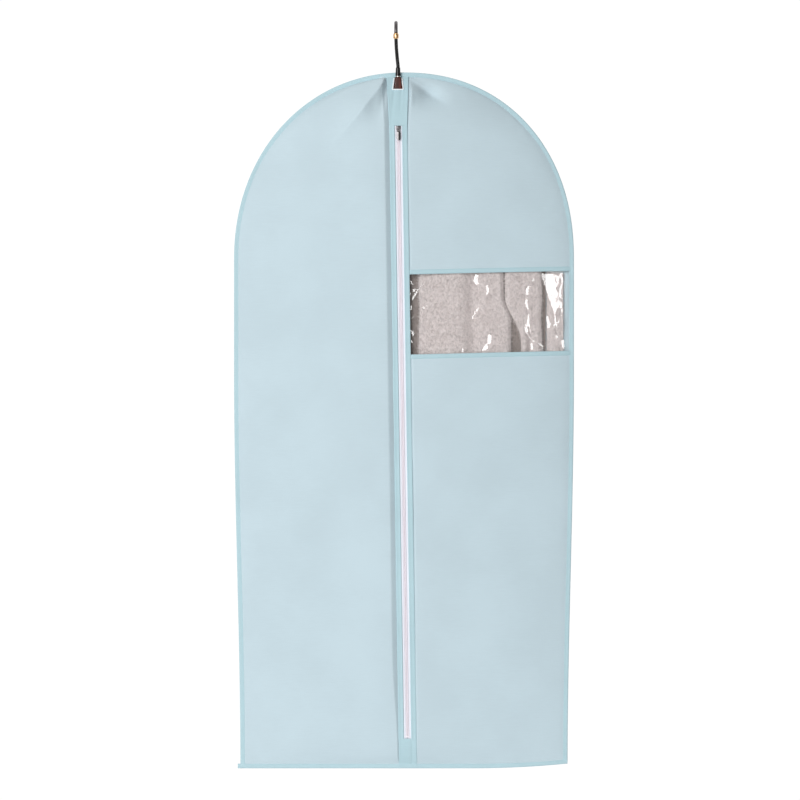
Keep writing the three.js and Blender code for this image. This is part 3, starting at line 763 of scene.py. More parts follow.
def metal_finish(name, color, roughness, scratch=0.25, coat=0.0):
    finish = Finish(name)
    lines = finish.noise(1.0, 2.0, finish.stretched((900.0, 900.0, 5200.0)))
    smudge = finish.noise(170.0, 3.0)
    colors = finish.mix(smudge.above(0.35, 0.3), shade(color, 0.88), shade(color, 1.08))
    rough = smudge * 0.12 + (roughness - 0.06) + lines * (0.08 * scratch)
    shader = finish.surface(
        Base_Color=colors,
        Metallic=1.0,
        Roughness=rough,
        Normal=finish.bump(lines, 0.00003, scratch),
        Coat_Weight=coat,
    )
    return finish.done(shader)


def hook_finish(name, black, reflection_grey):
    """Black lacquer with a painted reflection: over the crown, where it rides on a rail, it is painted steel
    grey and metallic, with specks of that grey painted below.
    """
    finish = Finish(name)
    patches = finish.noise(260.0, 3.0)
    # Painted reflection: the top of the crown is made steel grey by its height alone.
    painted_crown_reflection = (finish.z + patches * 0.006).above(-0.0145, 0.004)
    specks = (finish.noise(520.0, 1.0) - 0.66).above(0.0, 0.05)
    painted_crown_reflection = painted_crown_reflection + (1.0 - painted_crown_reflection) * specks * 0.5
    colors = finish.mix(painted_crown_reflection, shade(black, 1.0), reflection_grey)
    rough = 0.48 - painted_crown_reflection * 0.08 + patches * 0.08
    bumps = patches * 0.6 + painted_crown_reflection * 0.4
    shader = finish.surface(
        Base_Color=colors,
        Metallic=painted_crown_reflection * 0.9,
        Roughness=rough,
        Normal=finish.bump(bumps, 0.0004, 0.5),
        Specular_IOR_Level=0.25,
    )
    return finish.done(shader)


def wood_finish(name, color):
    finish = Finish(name)
    grain = finish.noise(1.0, 4.0, finish.stretched((900.0, 900.0, 45.0)))
    rings = finish.noise(1.0, 2.0, finish.stretched((150.0, 150.0, 9.0)))
    pores = finish.noise(1.0, 1.0, finish.stretched((2600.0, 2600.0, 120.0))).above(0.62, 0.08)
    tone = grain * 0.45 + rings * 0.55
    colors = finish.mix(tone.above(0.36, 0.3), shade(color, 0.45), shade(color, 1.25))
    colors = finish.mix(pores * 0.6, colors, shade(color, 0.25))
    shader = finish.surface(
        Base_Color=colors,
        Roughness=grain * 0.15 + 0.42,
        Normal=finish.bump(grain - pores * 0.5, 0.00012, 0.4),
        Coat_Weight=0.1,
        Specular_IOR_Level=0.3,
        Coat_Roughness=0.12,
    )
    return finish.done(shader)


def nylon_finish(name, color):
    finish = Finish(name)
    fine = finish.noise(700.0, 2.0)
    colors = finish.mix(fine, shade(color, 0.94), shade(color, 1.03))
    shader = finish.surface(Base_Color=colors, Roughness=0.38, Normal=finish.bump(fine, 0.00004, 0.3))
    return finish.done(shader)


def wool_finish(name, color, dark):
    """Short fluffy pile: mottled, with streaks that lean."""
    finish = Finish(name)
    leaning = finish.add(
        "ShaderNodeMapping",
        {},
        {"Vector": finish.place, "Rotation": (0.0, 0.5, 0.0), "Scale": (620.0, 620.0, 210.0)},
    )
    strokes = finish.noise(1.0, 3.0, leaning, 0.65)
    tufts = finish.noise(230.0, 3.0)
    tone = strokes * 0.6 + tufts * 0.4
    colors = finish.mix(tone.above(0.36, 0.2), dark, color)
    height = strokes * 0.6 + tufts * 0.7
    shader = finish.surface(
        Base_Color=colors,
        Roughness=0.9,
        Normal=finish.bump(height, 0.0017, 0.8),
        Sheen_Weight=0.5,
        Sheen_Roughness=0.6,
    )
    return finish.done(shader)


def linear(red, green, blue):
    """An 8-bit sRGB colour as the linear values that shaders use."""
    return tuple(
        c / 12.92 if c <= 0.04045 else ((c + 0.055) / 1.055) ** 2.4
        for c in (red / 255.0, green / 255.0, blue / 255.0)
    )


MATERIALS = {}


def finish_of(name):
    """Each finish is made once, from the sizes and colours in the panel."""
    if name in MATERIALS:
        return MATERIALS[name]
    cloth = bpy.context.scene.garment_cloth
    fittings = bpy.context.scene.garment_fittings
    coat = bpy.context.scene.garment_coat
    makers = {
        "bag_cloth": lambda: cloth_finish("bag_cloth", cloth.color, 0.0007),
        "binding_tape": lambda: cloth_finish("binding_tape", cloth.binding_color, 0.0009, 0.1),
        "sewing_thread": lambda: thread_finish("sewing_thread", cloth.thread_color),
        "window_film": lambda: film_finish("window_film", 0.045),
        "zip_tape": lambda: cloth_finish("zip_tape", cloth.tape_color, 0.0008, 0.1),
        "coil_nylon": lambda: nylon_finish("coil_nylon", cloth.coil_color),
        "slider_metal": lambda: metal_finish("slider_metal", shade(fittings.slider_color, 0.4), 0.4, 0.4),
        "pull_metal": lambda: metal_finish("pull_metal", shade(fittings.slider_color, 0.42), 0.3, 0.4),
        # The slot's edging: its near-white colour is partly a painted highlight.
        "slot_edging_highlight": lambda: cloth_finish("slot_edging_highlight", cloth.edging_highlight_color, 0.0009, 0.1),
        "nickel": lambda: metal_finish("nickel", (0.72, 0.71, 0.68), 0.2),
        # The hook's finish paints a steel grey reflection over its crown.
        "hook_lacquer": lambda: hook_finish("hook_lacquer", fittings.lacquer_color, (0.17, 0.155, 0.16)),
        "ferrule_black": lambda: metal_finish("ferrule_black", (0.035, 0.033, 0.033), 0.3),
        "cap_brass": lambda: metal_finish("cap_brass", fittings.cap_color, 0.28),
        "mahogany": lambda: wood_finish("mahogany", fittings.wood_color),
        "wool": lambda: wool_finish("wool", coat.color, shade(coat.color, 0.76)),
        # The lining's finish is partly painted shade: it darkens the gaps between the coat's pieces.
        "lining_gap_shade": lambda: wool_finish("lining_gap_shade", coat.lining_gap_shade_color, shade(coat.lining_gap_shade_color, 0.6)),
    }
    MATERIALS[name] = makers[name]()
    return MATERIALS[name]


# ---- Geometry Nodes ----
class Repeats:
    """A Geometry Nodes tree with named inputs, run once on a piece and turned into plain mesh."""

    def __init__(self, name, sizes):
        self.group = bpy.data.node_groups.new(name, "GeometryNodeTree")
        face = self.group.interface
        face.new_socket("Geometry", in_out="INPUT", socket_type="NodeSocketGeometry")
        self.sizes = {}
        for label, value in sizes.items():
            kind = "NodeSocketInt" if isinstance(value, int) else "NodeSocketFloat"
            self.sizes[label] = (face.new_socket(label, in_out="INPUT", socket_type=kind).identifier, value)
        face.new_socket("Geometry", in_out="OUTPUT", socket_type="NodeSocketGeometry")
        self.start = self.group.nodes.new("NodeGroupInput")

    def size(self, label):
        return self.start.outputs[label]

    def add(self, kind, settings=None, inputs=None, out=0):
        made = self.group.nodes.new(kind)
        for key, value in (settings or {}).items():
            setattr(made, key, value)
        for key, value in (inputs or {}).items():
            if isinstance(value, bpy.types.NodeSocket):
                self.group.links.new(value, made.inputs[key])
            else:
                made.inputs[key].default_value = value
        return made.outputs[out]

    def finish(self, instances, material):
        real = self.add("GeometryNodeRealizeInstances", {}, {0: instances})
        self.add("GeometryNodeSetMaterial", {}, {"Geometry": real, "Material": material})
        last = self.group.nodes[-1].outputs[0]
        end = self.group.nodes.new("NodeGroupOutput")
        self.group.links.new(last, end.inputs[0])

    def run(self, piece):
        modifier = piece.modifiers.new("Repeats", "NODES")
        modifier.node_group = self.group
        for identifier, value in self.sizes.values():
            modifier[identifier] = value
        settle(piece)
        return piece


def stitch_rows(name, runs, material, length, gap, radius):
    """Rows of stitches along runs of points, in millimetres."""
    points = np.concatenate(runs)
    edges = []
    start = 0
    for run in runs:
        edges += [(start + i, start + i + 1) for i in range(len(run) - 1)]
        start += len(run)
    mesh = bpy.data.meshes.new(name)
    mesh.from_pydata((points * MM).tolist(), edges, [])
    piece = bpy.data.objects.new(name, mesh)
    bpy.context.scene.collection.objects.link(piece)
    sizes = {"Pitch": (length + gap) * MM, "Length": length * MM, "Radius": radius * MM}
    rows = Repeats("Stitch Rows", sizes)
    curve = rows.add("GeometryNodeMeshToCurve", {}, {0: rows.start.outputs[0]})
    even = rows.add(
        "GeometryNodeResampleCurve", {"mode": "LENGTH"}, {"Curve": curve, "Length": rows.size("Pitch")}
    )
    tangent = rows.add("GeometryNodeInputTangent")
    turn = rows.add("FunctionNodeAlignRotationToVector", {"axis": "Z"}, {"Vector": tangent})
    bead = rows.add("GeometryNodeMeshUVSphere", {}, {"Segments": 6, "Rings": 4, "Radius": 1.0})
    half = rows.add("ShaderNodeMath", {"operation": "MULTIPLY"}, {0: rows.size("Length"), 1: 0.5})
    scale = rows.add("ShaderNodeCombineXYZ", {}, {0: rows.size("Radius"), 1: rows.size("Radius"), 2: half})
    placed = rows.add(
        "GeometryNodeInstanceOnPoints",
        {},
        {"Points": even, "Instance": bead, "Rotation": turn, "Scale": scale},
    )
    smooth = rows.add("GeometryNodeRealizeInstances", {}, {0: placed})
    smooth = rows.add("GeometryNodeSetShadeSmooth", {}, {"Geometry": smooth})
    rows.finish(smooth, material)
    return rows.run(piece)


def coil_teeth(name, side, material, pitch):
    """One side of the zip's coil: rounded teeth that mesh with the other side's."""
    start = zip_point([side * 1.35, 0.0, -0.3 - (0.5 * pitch if side > 0 else 0.0)])
    end = zip_point([side * 1.35, 0.0, 6.4 - ZIP_LENGTH])
    mesh = bpy.data.meshes.new(name)
    mesh.from_pydata([(start * MM).tolist(), (end * MM).tolist()], [(0, 1)], [])
    piece = bpy.data.objects.new(name, mesh)
    bpy.context.scene.collection.objects.link(piece)
    sizes = {
        "Pitch": pitch * MM,
        "Half Reach": COIL_HALF_REACH * MM,
        "Half Depth": COIL_HALF_DEPTH * MM,
        "Half Height": COIL_HALF_HEIGHT * pitch * MM,
    }
    teeth = Repeats("Coil Teeth", sizes)
    curve = teeth.add("GeometryNodeMeshToCurve", {}, {0: teeth.start.outputs[0]})
    even = teeth.add(
        "GeometryNodeResampleCurve", {"mode": "LENGTH"}, {"Curve": curve, "Length": teeth.size("Pitch")}
    )
    bead = teeth.add("GeometryNodeMeshUVSphere", {}, {"Segments": 8, "Rings": 5, "Radius": 1.0})
    scale = teeth.add(
        "ShaderNodeCombineXYZ",
        {},
        {0: teeth.size("Half Reach"), 1: teeth.size("Half Depth"), 2: teeth.size("Half Height")},
    )
    lean = (0.0, side * 0.12, ZIP_ACROSS[1])
    placed = teeth.add(
        "GeometryNodeInstanceOnPoints",
        {},
        {"Points": even, "Instance": bead, "Rotation": lean, "Scale": scale},
    )
    smooth = teeth.add("GeometryNodeRealizeInstances", {}, {0: placed})
    smooth = teeth.add("GeometryNodeSetShadeSmooth", {}, {"Geometry": smooth})
    teeth.finish(smooth, material)
    return teeth.run(piece)


def pile_on(name, bed, material, per_square_metre, length, radius, seed):
    """Short tufts of pile all over a bed of faces, which they replace."""
    sizes = {"Density": float(per_square_metre), "Length": length * MM, "Radius": radius * MM, "Seed": seed}
    pile = Repeats("Pile", sizes)
    spots = pile.group.nodes.new("GeometryNodeDistributePointsOnFaces")
    pile.group.links.new(pile.start.outputs[0], spots.inputs["Mesh"])
    pile.group.links.new(pile.size("Density"), spots.inputs["Density"])
    pile.group.links.new(pile.size("Seed"), spots.inputs["Seed"])
    tuft = pile.add(
        "GeometryNodeMeshCone",
        {"fill_type": "TRIANGLE_FAN"},
        {
            "Vertices": 4,
            "Radius Top": 0.0001,
            "Radius Bottom": pile.size("Radius"),
            "Depth": pile.size("Length"),
        },
    )
    turn = pile.add(
        "FunctionNodeRandomValue",
        {"data_type": "FLOAT_VECTOR"},
        {0: (-0.75, -0.75, -3.0), 1: (0.75, 0.75, 3.0), "Seed": pile.size("Seed")},
    )
    droop = pile.add(
        "FunctionNodeRotateEuler",
        {"rotation_type": "EULER", "space": "LOCAL"},
        {0: spots.outputs["Rotation"], 1: turn},
    )
    size = pile.add("FunctionNodeRandomValue", {}, {2: 0.6, 3: 1.25, "Seed": pile.size("Seed")}, out=1)
    placed = pile.add(
        "GeometryNodeInstanceOnPoints",
        {},
        {"Points": spots.outputs["Points"], "Instance": tuft, "Rotation": droop, "Scale": size},
    )
    pile.finish(placed, material)
    pile.run(bed)
    bed.name = name
    bed.data.name = name
    return bed


# ---- Sizes and colours a user may change ----
def length_property(name, description, default, low=0.0, high=0.1):
    return FloatProperty(
        name=name, description=description, default=default, min=low, max=high, unit="LENGTH", precision=5
    )


def color_property(name, description, default):
    return FloatVectorProperty(
        name=name, description=description, default=default, size=3, min=0.0, max=1.0, subtype="COLOR"
    )


class GarmentClothSettings(bpy.types.PropertyGroup):
    """The bag's own cloth, its bindings, thread and zip."""

    color: color_property("Cloth", "Colour of the bag's panels", linear(196, 215, 223))
    binding_color: color_property(
        "Bindings", "Colour of the edge bindings and the zip's strip", linear(183, 212, 220)
    )
    # Near white: the slot's edging is partly a painted highlight, for the bright line round the slot.
    edging_highlight_color: color_property(
        "Slot edging", "Colour of the edging round the hanger's slot", linear(242, 248, 251)
    )
    thread_color: color_property("Thread", "Colour of the sewing thread", linear(190, 220, 227))
    tape_color: color_property("Zip tape", "Colour of the zip's woven tape", linear(240, 242, 251))
    coil_color: color_property("Zip coil", "Colour of the zip's nylon coil", linear(250, 243, 250))
    fold_height: length_property(
        "Neck folds", "Height of the folds that run from the hanger's neck", 0.0135
    )
    roll_height: length_property("Zip roll", "How far the left panel stands proud beside the zip", 0.0058)
    undulation: length_property("Undulation", "Height of the cloth's long soft waves", 0.0009)
    pucker_height: length_property("Puckers", "Height of the puckers beside the bindings", 0.00035)
    stitch_length: length_property("Stitch", "Length of one stitch", 0.0026, 0.001, 0.01)
    stitch_radius: length_property(
        "Thread radius", "Half the thickness of the thread", 0.00022, 0.0001, 0.001
    )
    coil_pitch: length_property(
        "Coil pitch", "Distance from one coil tooth to the next", 0.00125, 0.0008, 0.004
    )


class GarmentFittingsSettings(bpy.types.PropertyGroup):
    """The hanger, its hook and the zip's slider."""

    wood_color: color_property("Hanger", "Colour of the hanger's wood", linear(96, 47, 38))
    lacquer_color: color_property("Hook", "Colour of the hook's lacquer", (0.012, 0.012, 0.012))
    cap_color: color_property("Tip cap", "Colour of the hook's tip cap", linear(226, 182, 134))
    slider_color: color_property("Slider", "Colour of the zip's slider and pull", (0.42, 0.40, 0.41))


class GarmentCoatSettings(bpy.types.PropertyGroup):
    """The window's film and the coat behind it."""

    color: color_property("Coat", "Colour of the coat's pile", linear(237, 228, 226))
    # The lining's dark colour is partly painted shade for the gaps in the coat.
    lining_gap_shade_color: color_property("Lining", "Colour of the coat's lining", linear(158, 147, 142))
    pile_length: length_property("Pile", "Length of the coat's pile", 0.0038, 0.0005, 0.01)
    pile_density: IntProperty(
        name="Pile density", description="Tufts on each square metre", default=330000, min=0
    )
    crease_tilt: FloatProperty(
        name="Film tilt",
        description="Slope of the film's creases that catch the light",
        default=0.146,
        min=0.0,
    )


class GarmentStageSettings(bpy.types.PropertyGroup):
    """Lights around the bag."""

    key_light: FloatProperty(
        name="Key light", description="Power of the tall light in watts", default=102.0, min=0.0
    )
    side_light: FloatProperty(
        name="Side light", description="Power of the upper left light", default=80.0, min=0.0
    )
    surround: FloatProperty(
        name="Surround", description="Brightness of the room at the front", default=0.205, min=0.0
    )


# ---- Operators: one for each group of pieces ----
class GARMENT_OT_panels(bpy.types.Operator):
    """Build the bag's cloth panels, front and back"""

    bl_idname = "garment.panels"
    bl_label = "Cloth Panels"

    def execute(self, context):
        cloth = finish_of("bag_cloth")
        inset = BINDING - 3.0

        def left(z):
            return side_x(z, -1, inset)

        def right(z):
            return side_x(z, 1, inset)

        dome = list(dome_rows(BAG_X - float(strip_edge(PANEL_TOP, -1)) + 2.0, -1, inset, 120))
        levels = [*dome, SPRING_Z, *rows_to_hem(level(SPRING_Z), 180)]
        x, z = sheet_grid(levels, left, lambda z: strip_edge(z, -1), 88, 0.6)
        self.panel("left_front_cloth", x, z, cloth, (0.29, 1.19), "left_front_panel")

        dome = list(dome_rows(float(strip_edge(PANEL_TOP, 1)) - BAG_X + 2.0, 1, inset, 120))
        above_window = window_line(-WINDOW_BAND + 2.0)
        upper = [*dome, SPRING_Z, *lines_between(level(SPRING_Z), above_window, 6)]
        x, z = sheet_grid(upper, lambda z: strip_edge(z, 1), right, 88, -0.6)
        self.panel("right_upper_cloth", x, z, cloth, (0.28, 0.34), "right_front_upper_panel")

        below_window = window_line(WINDOW_HEIGHT + WINDOW_BAND - 2.0)
        lower = [below_window, *rows_to_hem(below_window, 150)]
        x, z = sheet_grid(lower, lambda z: strip_edge(z, 1), right, 88, -0.6)
        self.panel("right_lower_cloth", x, z, cloth, (0.28, 0.71), "right_front_lower_panel")

        dome = list(dome_rows(3.0, 1, inset, 110))
        levels = [*dome, SPRING_Z, *rows_to_hem(level(SPRING_Z), 140)]
        x, z = sheet_grid(levels, left, right, 110, 0.0)
        back = cloth_sheet("back_cloth", x, z, back_surface(x, z), cloth, back=True)
        on_body(back, "bag", "cloth", "back_panel")
        return {"FINISHED"}

    def panel(self, name, x, z, cloth, flat, node):
        made = cloth_sheet(name, x, z, front_surface(x, z), cloth)
        on_body(made, "bag", "cloth", node)


def edge_route(count=150):
    """Points of the bag's outer edge, from the lower left, over the dome, to the lower right."""
    sides = []
    for side in (-1, 1):
        dome = dome_rows(0.8, side, 0.0, count)
        end = HEM_Z + 3.0 if side < 0 else float(hem_z(295.0)) + 3.0
        heights = np.concatenate([dome, np.linspace(SPRING_Z, end, 200)])
        sides.append(np.stack([side_x(heights, side), seam_y(heights), heights], axis=-1))
    apex = np.array([[BAG_X, CROWN_SEAM_Y, BAG_TOP]])
    return np.vstack([sides[0][::-1], apex, sides[1]])


def inward(route):
    """Unit vectors in the seam's plane, from the edge into the bag."""
    tangents = np.gradient(route, axis=0)
    normals = np.stack([tangents[:, 2], np.zeros(len(route)), -tangents[:, 0]], axis=-1)
    return normals / np.linalg.norm(normals, axis=1)[:, None]


TAPE_PROFILE = np.array(
    [
        (8.0, -1.15), (7.7, -1.5), (6.9, -1.62), (6.3, -1.45), (4.5, -1.6), (2.2, -1.68), (0.9, -1.5),
        (0.25, -0.9), (0.0, 0.0), (0.25, 0.9), (0.9, 1.5), (2.2, 1.68), (4.5, 1.6), (6.3, 1.45),
        (6.9, 1.62), (7.7, 1.5), (8.0, 1.15), (7.8, 0.5), (7.8, -0.5),
    ]
)


class GARMENT_OT_bindings(bpy.types.Operator):
    """Build the bindings round the bag's edge and along its hem"""

    bl_idname = "garment.bindings"
    bl_label = "Bindings"

    def execute(self, context):
        tape = finish_of("binding_tape")
        route = edge_route()
        into = inward(route)
        along = np.concatenate([[0.0], np.cumsum(np.linalg.norm(np.diff(route, axis=0), axis=1))])
        swell = 1.0 + 0.09 * np.sin(along / 2.9) * np.sin(along / 23.0 + 1.0)
        rings = TAPE_PROFILE[None] * np.stack([np.ones_like(swell), swell], axis=-1)[:, None, :]
        edge = swept("edge_tape", route, rings, tape, across=into)
        on_body(edge, "bag", "binding", "edge_binding")

        x = np.linspace(float(side_x(HEM_Z, -1)) - EAR, float(side_x(HEM_Z, 1)), 160)
        hem = np.stack([x, np.full_like(x, SEAM_Y), hem_z(x)], axis=-1)
        swell = 1.06 + 0.08 * np.sin(x / 3.1) * np.sin(x / 19.0)
        rings = TAPE_PROFILE[None] * np.stack([np.ones_like(swell), swell], axis=-1)[:, None, :]
        bottom = swept("hem_tape", hem, rings, tape, across=np.array([0.0, 0.0, 1.0]))
        on_body(bottom, "bag", "binding", "bottom_binding")
        return {"FINISHED"}


def facing_profile(side):
    """Section of one facing strip in the zip's frame; its edges are folded under."""
    points = np.array(
        [
            (6.2, -1.0), (6.3, -1.55), (6.9, -1.9), (7.9, -1.78), (9.0, -1.6), (12.2, -1.6), (13.9, -1.8),
            (14.8, -1.85), (15.4, -1.4), (15.3, -0.95), (14.8, -0.72), (10.0, -0.8), (6.6, -0.7),
        ]
    )
    return points * np.array([side, 1.0])


class GARMENT_OT_strip(bpy.types.Operator):
    """Build the strip that holds the zip, and the slot for the hanger's neck"""

    bl_idname = "garment.strip"
    bl_label = "Zip Strip"

    def execute(self, context):
        tape = finish_of("binding_tape")
        heights = np.linspace(-ZIP_LENGTH - 0.3, 0.6, 220)
        for side, name in ((-1, "left"), (1, "right")):
            sway = 0.22 * np.sin(heights / 47.0 + side) + 0.12 * np.sin(heights / 13.0)
            path = zip_point(np.stack([np.zeros_like(heights), sway * 0.4, heights], axis=-1))
            facing = swept("facing_" + name, path, facing_profile(side), tape, across=ZIP_ACROSS)
            on_body(facing, "bag", "cloth", "placket_" + name)
        self.top_strip(tape)
        self.bottom_strip(tape)
        self.slot_edge()
        return {"FINISHED"}

    def top_strip(self, tape):
        heights = np.concatenate([np.linspace(-87.8, SLOT_BOTTOM_Z, 26), np.linspace(-114.0, -176.8, 44)])
        half = strip_half(heights) + 1.0
        slot = lerp(SLOT_TOP_HALF, SLOT_BOTTOM_HALF, np.clip((PANEL_TOP - heights) / SLOT_HEIGHT, 0.0, 1.0))
        outer = np.array([1.0, 0.985, 0.95, 0.86, 0.72, 0.5, 0.25, 0.06, 0.0])
        middle = np.linspace(-0.8, 0.8, 9)
        x = []
        for i, z in enumerate(heights):
            middle_x, reach, gap = float(zip_x(z)), float(half[i]), float(slot[i])
            left = lerp(AXIS_X - gap, middle_x - reach, outer)
            right = lerp(AXIS_X + gap, middle_x + reach, outer[::-1])
            x.append(np.concatenate([left, AXIS_X + middle * gap, right]))
        x = np.array(x)
        z = np.repeat(heights[:, None], x.shape[1], axis=1)
        share = np.abs(x - zip_x(z)) / (strip_half(z) + 1.0)
        bead = 0.55 * np.exp(-(((share - 0.93) / 0.05) ** 2))
        narrow = np.exp(-(((x - 8.5 - (z + 120.0) * 0.05) / 1.6) ** 2))
        wide = np.exp(-(((x + 3.5 - (z + 120.0) * 0.09) / 2.6) ** 2))
        creases = narrow * smoothstep(z, -160.0, -125.0) + wide * smoothstep(z, -172.0, -120.0)
        y = zip_y(z) - bead + creases + 0.25 * waves(x, z, 26.0, 8)
        keep = np.ones((x.shape[0] - 1, x.shape[1] - 1), bool)
        keep[:25, 8:18] = False
        strip = cloth_sheet("strip_top", x, z, y, tape, thickness=0.8, keep=keep)
        on_body(strip, "bag", "cloth", "placket_top")

    def bottom_strip(self, tape):
        half = BOTTOM_STRIP_HALF
        top = level(BOTTOM_STRIP_TOP_Z)
        rows = [top, *lines_between(top, hem_under, 22)]
        x, z = sheet_grid(rows, lambda z: zip_x(z) - half, lambda z: zip_x(z) + half, 24, 0.0)
        share = np.abs(x - zip_x(z)) / half
        bead = 0.4 * np.exp(-(((share - 0.93) / 0.06) ** 2))
        crease = 0.7 * np.exp(-(((x - zip_x(z) - 7.4) / 1.3) ** 2)) * smoothstep(-z, 1228.0, 1240.0)
        y = zip_y(z) - bead + crease + 0.2 * waves(x, z, 22.0, 9)
        strip = cloth_sheet("strip_bottom", x, z, y, tape, thickness=0.8)
        on_body(strip, "bag", "cloth", "placket_bottom")

    def slot_edge(self):
        heights = np.linspace(STRIP_TOP - 0.3, SLOT_BOTTOM_Z - 0.4, 24)
        half = lerp(SLOT_TOP_HALF, SLOT_BOTTOM_HALF, (PANEL_TOP - heights) / SLOT_HEIGHT) + 0.25
        left = np.stack([AXIS_X - half, zip_y(heights) - 0.7, heights], axis=-1)
        right = np.stack([AXIS_X + half, zip_y(heights) - 0.7, heights], axis=-1)[::-1]
        low = SLOT_BOTTOM_Z - 1.0
        bottom = [(AXIS_X + a, float(zip_y(low)) - 0.8, low) for a in (-8.3, -5.0, 0.0, 5.0, 8.3)]
        path = np.vstack([left, bottom, right])
        # The trim's near-white finish paints the bright line round the slot.
        trim = swept("slot_trim", path, circle(1.2, 12), finish_of("slot_edging_highlight"))
        on_body(trim, "bag", "binding", "hanger_slot_trim")


# The film's creases: start and end of each in x and z, and its half width, all in millimetres.
FILM_CREASES = (
    ((140.0, -426.0), (149.0, -452.0), 6.0),
    ((161.5, -447.0), (156.5, -468.0), 4.0),
    ((240.0, -434.0), (229.0, -470.0), 5.0),
    ((229.0, -470.0), (228.0, -494.0), 3.5),
    ((228.0, -494.0), (235.0, -540.0), 2.6),
    ((236.0, -472.0), (247.0, -484.0), 2.6),
    ((163.5, -532.0), (159.0, -572.0), 6.0),
    ((158.0, -552.0), (150.0, -572.0), 3.0),
    ((230.0, -512.0), (256.0, -576.0), 7.5),
    ((246.0, -526.0), (266.0, -576.0), 6.0),
    ((262.0, -540.0), (276.0, -578.0), 5.0),
    ((233.0, -548.0), (239.0, -578.0), 4.0),
    ((50.0, -449.0), (31.0, -462.0), 2.6),
    ((47.0, -452.0), (29.0, -474.0), 2.2),
    ((28.0, -442.0), (30.0, -450.0), 2.2),
    ((26.0, -462.0), (24.0, -470.0), 2.0),
    ((29.0, -486.0), (25.0, -492.0), 2.4),
    ((32.0, -503.0), (25.0, -512.0), 2.0),
    ((24.0, -526.0), (33.0, -536.0), 2.8),
    ((24.0, -544.0), (30.0, -550.0), 2.6),
    ((56.0, -484.0), (48.0, -490.0), 2.4),
    ((146.0, -484.0), (132.0, -510.0), 2.0),
    ((118.0, -558.0), (112.0, -574.0), 2.6),
    ((104.0, -564.0), (98.0, -574.0), 2.2),
    ((291.0, -486.0), (276.0, -536.0), 7.0),
    ((286.0, -484.0), (290.0, -566.0), 5.5),
    ((281.0, -516.0), (279.0, -544.0), 4.5),
    ((268.0, -500.0), (262.0, -526.0), 5.0),
    ((289.0, -424.0), (295.0, -470.0), 5.0),
)


def film_relief(x, z):
    """Creases of the film, outwards, steep enough on their left to catch the tall light."""
    tilt = bpy.context.scene.garment_coat.crease_tilt
    relief = np.zeros_like(x)
    for start, end, half in FILM_CREASES:
        start, end = np.array(start), np.array(end)
        along = end - start
        length = np.hypot(*along)
        along = along / length
        dx, dz = x - start[0], z - start[1]
        t = (dx * along[0] + dz * along[1]) / length
        across = dx * along[1] - dz * along[0] + 0.6 * half * np.sin(t * 5.0 + start[0])
        middle = (start + end) / 2.0
        slope = float(front_y(middle[0] + 2.0, middle[1]) - front_y(middle[0] - 2.0, middle[1])) / 4.0
        height = half * (tilt + max(slope, 0.0)) / 0.858 * 1.25
        fade = smoothstep(t, -0.1, 0.18) * (1.0 - smoothstep(t, 0.8, 1.1))
        relief = relief + height * np.exp(-((across / half) ** 2)) * fade
    patch_left = 249.0 + 0.34 * np.maximum(0.0, -432.0 - z)
    patch_right = 290.0
    ramp = np.clip((x - patch_left) / (patch_right - patch_left), 0.0, 1.0)
    drop = 1.0 - smoothstep(x, patch_right - 1.0, patch_right + 8.0)
    fade = smoothstep(z, -524.0, -488.0)
    slope = tilt + 0.13
    relief = relief + slope * (patch_right - patch_left) * ramp * drop * fade * (x > patch_left)
    relief = relief + 0.35 * waves(x, z, 34.0, 11, 3) + 0.10 * waves(x, z, 9.0, 12, 2)
    inset = np.minimum(x - strip_edge(z, 1), side_x(z, 1, BINDING) - x)
    top = window_line(0.0)(x) - z
    bottom = z - window_line(WINDOW_HEIGHT)(x)
    edge = smoothstep(np.minimum(np.minimum(top, bottom) * 1.6, inset), -0.5, 7.0)
    return relief * edge


class GARMENT_OT_window(bpy.types.Operator):
    """Build the window's film and its two bands"""

    bl_idname = "garment.window"
    bl_label = "Window"

    def execute(self, context):
        def left(z):
            return strip_edge(z, 1)

        def right(z):
            return side_x(z, 1, BINDING - 3.0)

        top = window_line(-1.5)
        bottom = window_line(WINDOW_HEIGHT + 1.5)
        rows = [top, *lines_between(top, bottom, 130)]
        x, z = sheet_grid(rows, left, right, 230, 0.0)
        y = front_surface(x, z) + right_tuck(x, z) - film_relief(x, z) + 0.15
        film = cloth_sheet("window_sheet", x, z, y, finish_of("window_film"), thickness=0.2)
        on_body(film, "bag", "film", "window_film")

        for name, node, upper, lower in (
            ("window_band_top", "window_top_band", -WINDOW_BAND, 0.0),
            ("window_band_bottom", "window_bottom_band", WINDOW_HEIGHT, WINDOW_HEIGHT + WINDOW_BAND),
        ):
            rows = [window_line(upper), *lines_between(window_line(upper), window_line(lower), 10)]
            x, z = sheet_grid(rows, left, right, 100, 0.0)
            share = np.linspace(-1.0, 1.0, x.shape[0])[:, None]
            lift = 0.75 * (1.0 - np.abs(share) ** 6) + 0.12 * np.exp(-(((np.abs(share) - 0.8) / 0.1) ** 2))
            y = front_surface(x, z) - lift
            band = cloth_sheet(name, x, z, y, finish_of("binding_tape"), thickness=0.9)
            on_body(band, "bag", "binding", node)
        return {"FINISHED"}


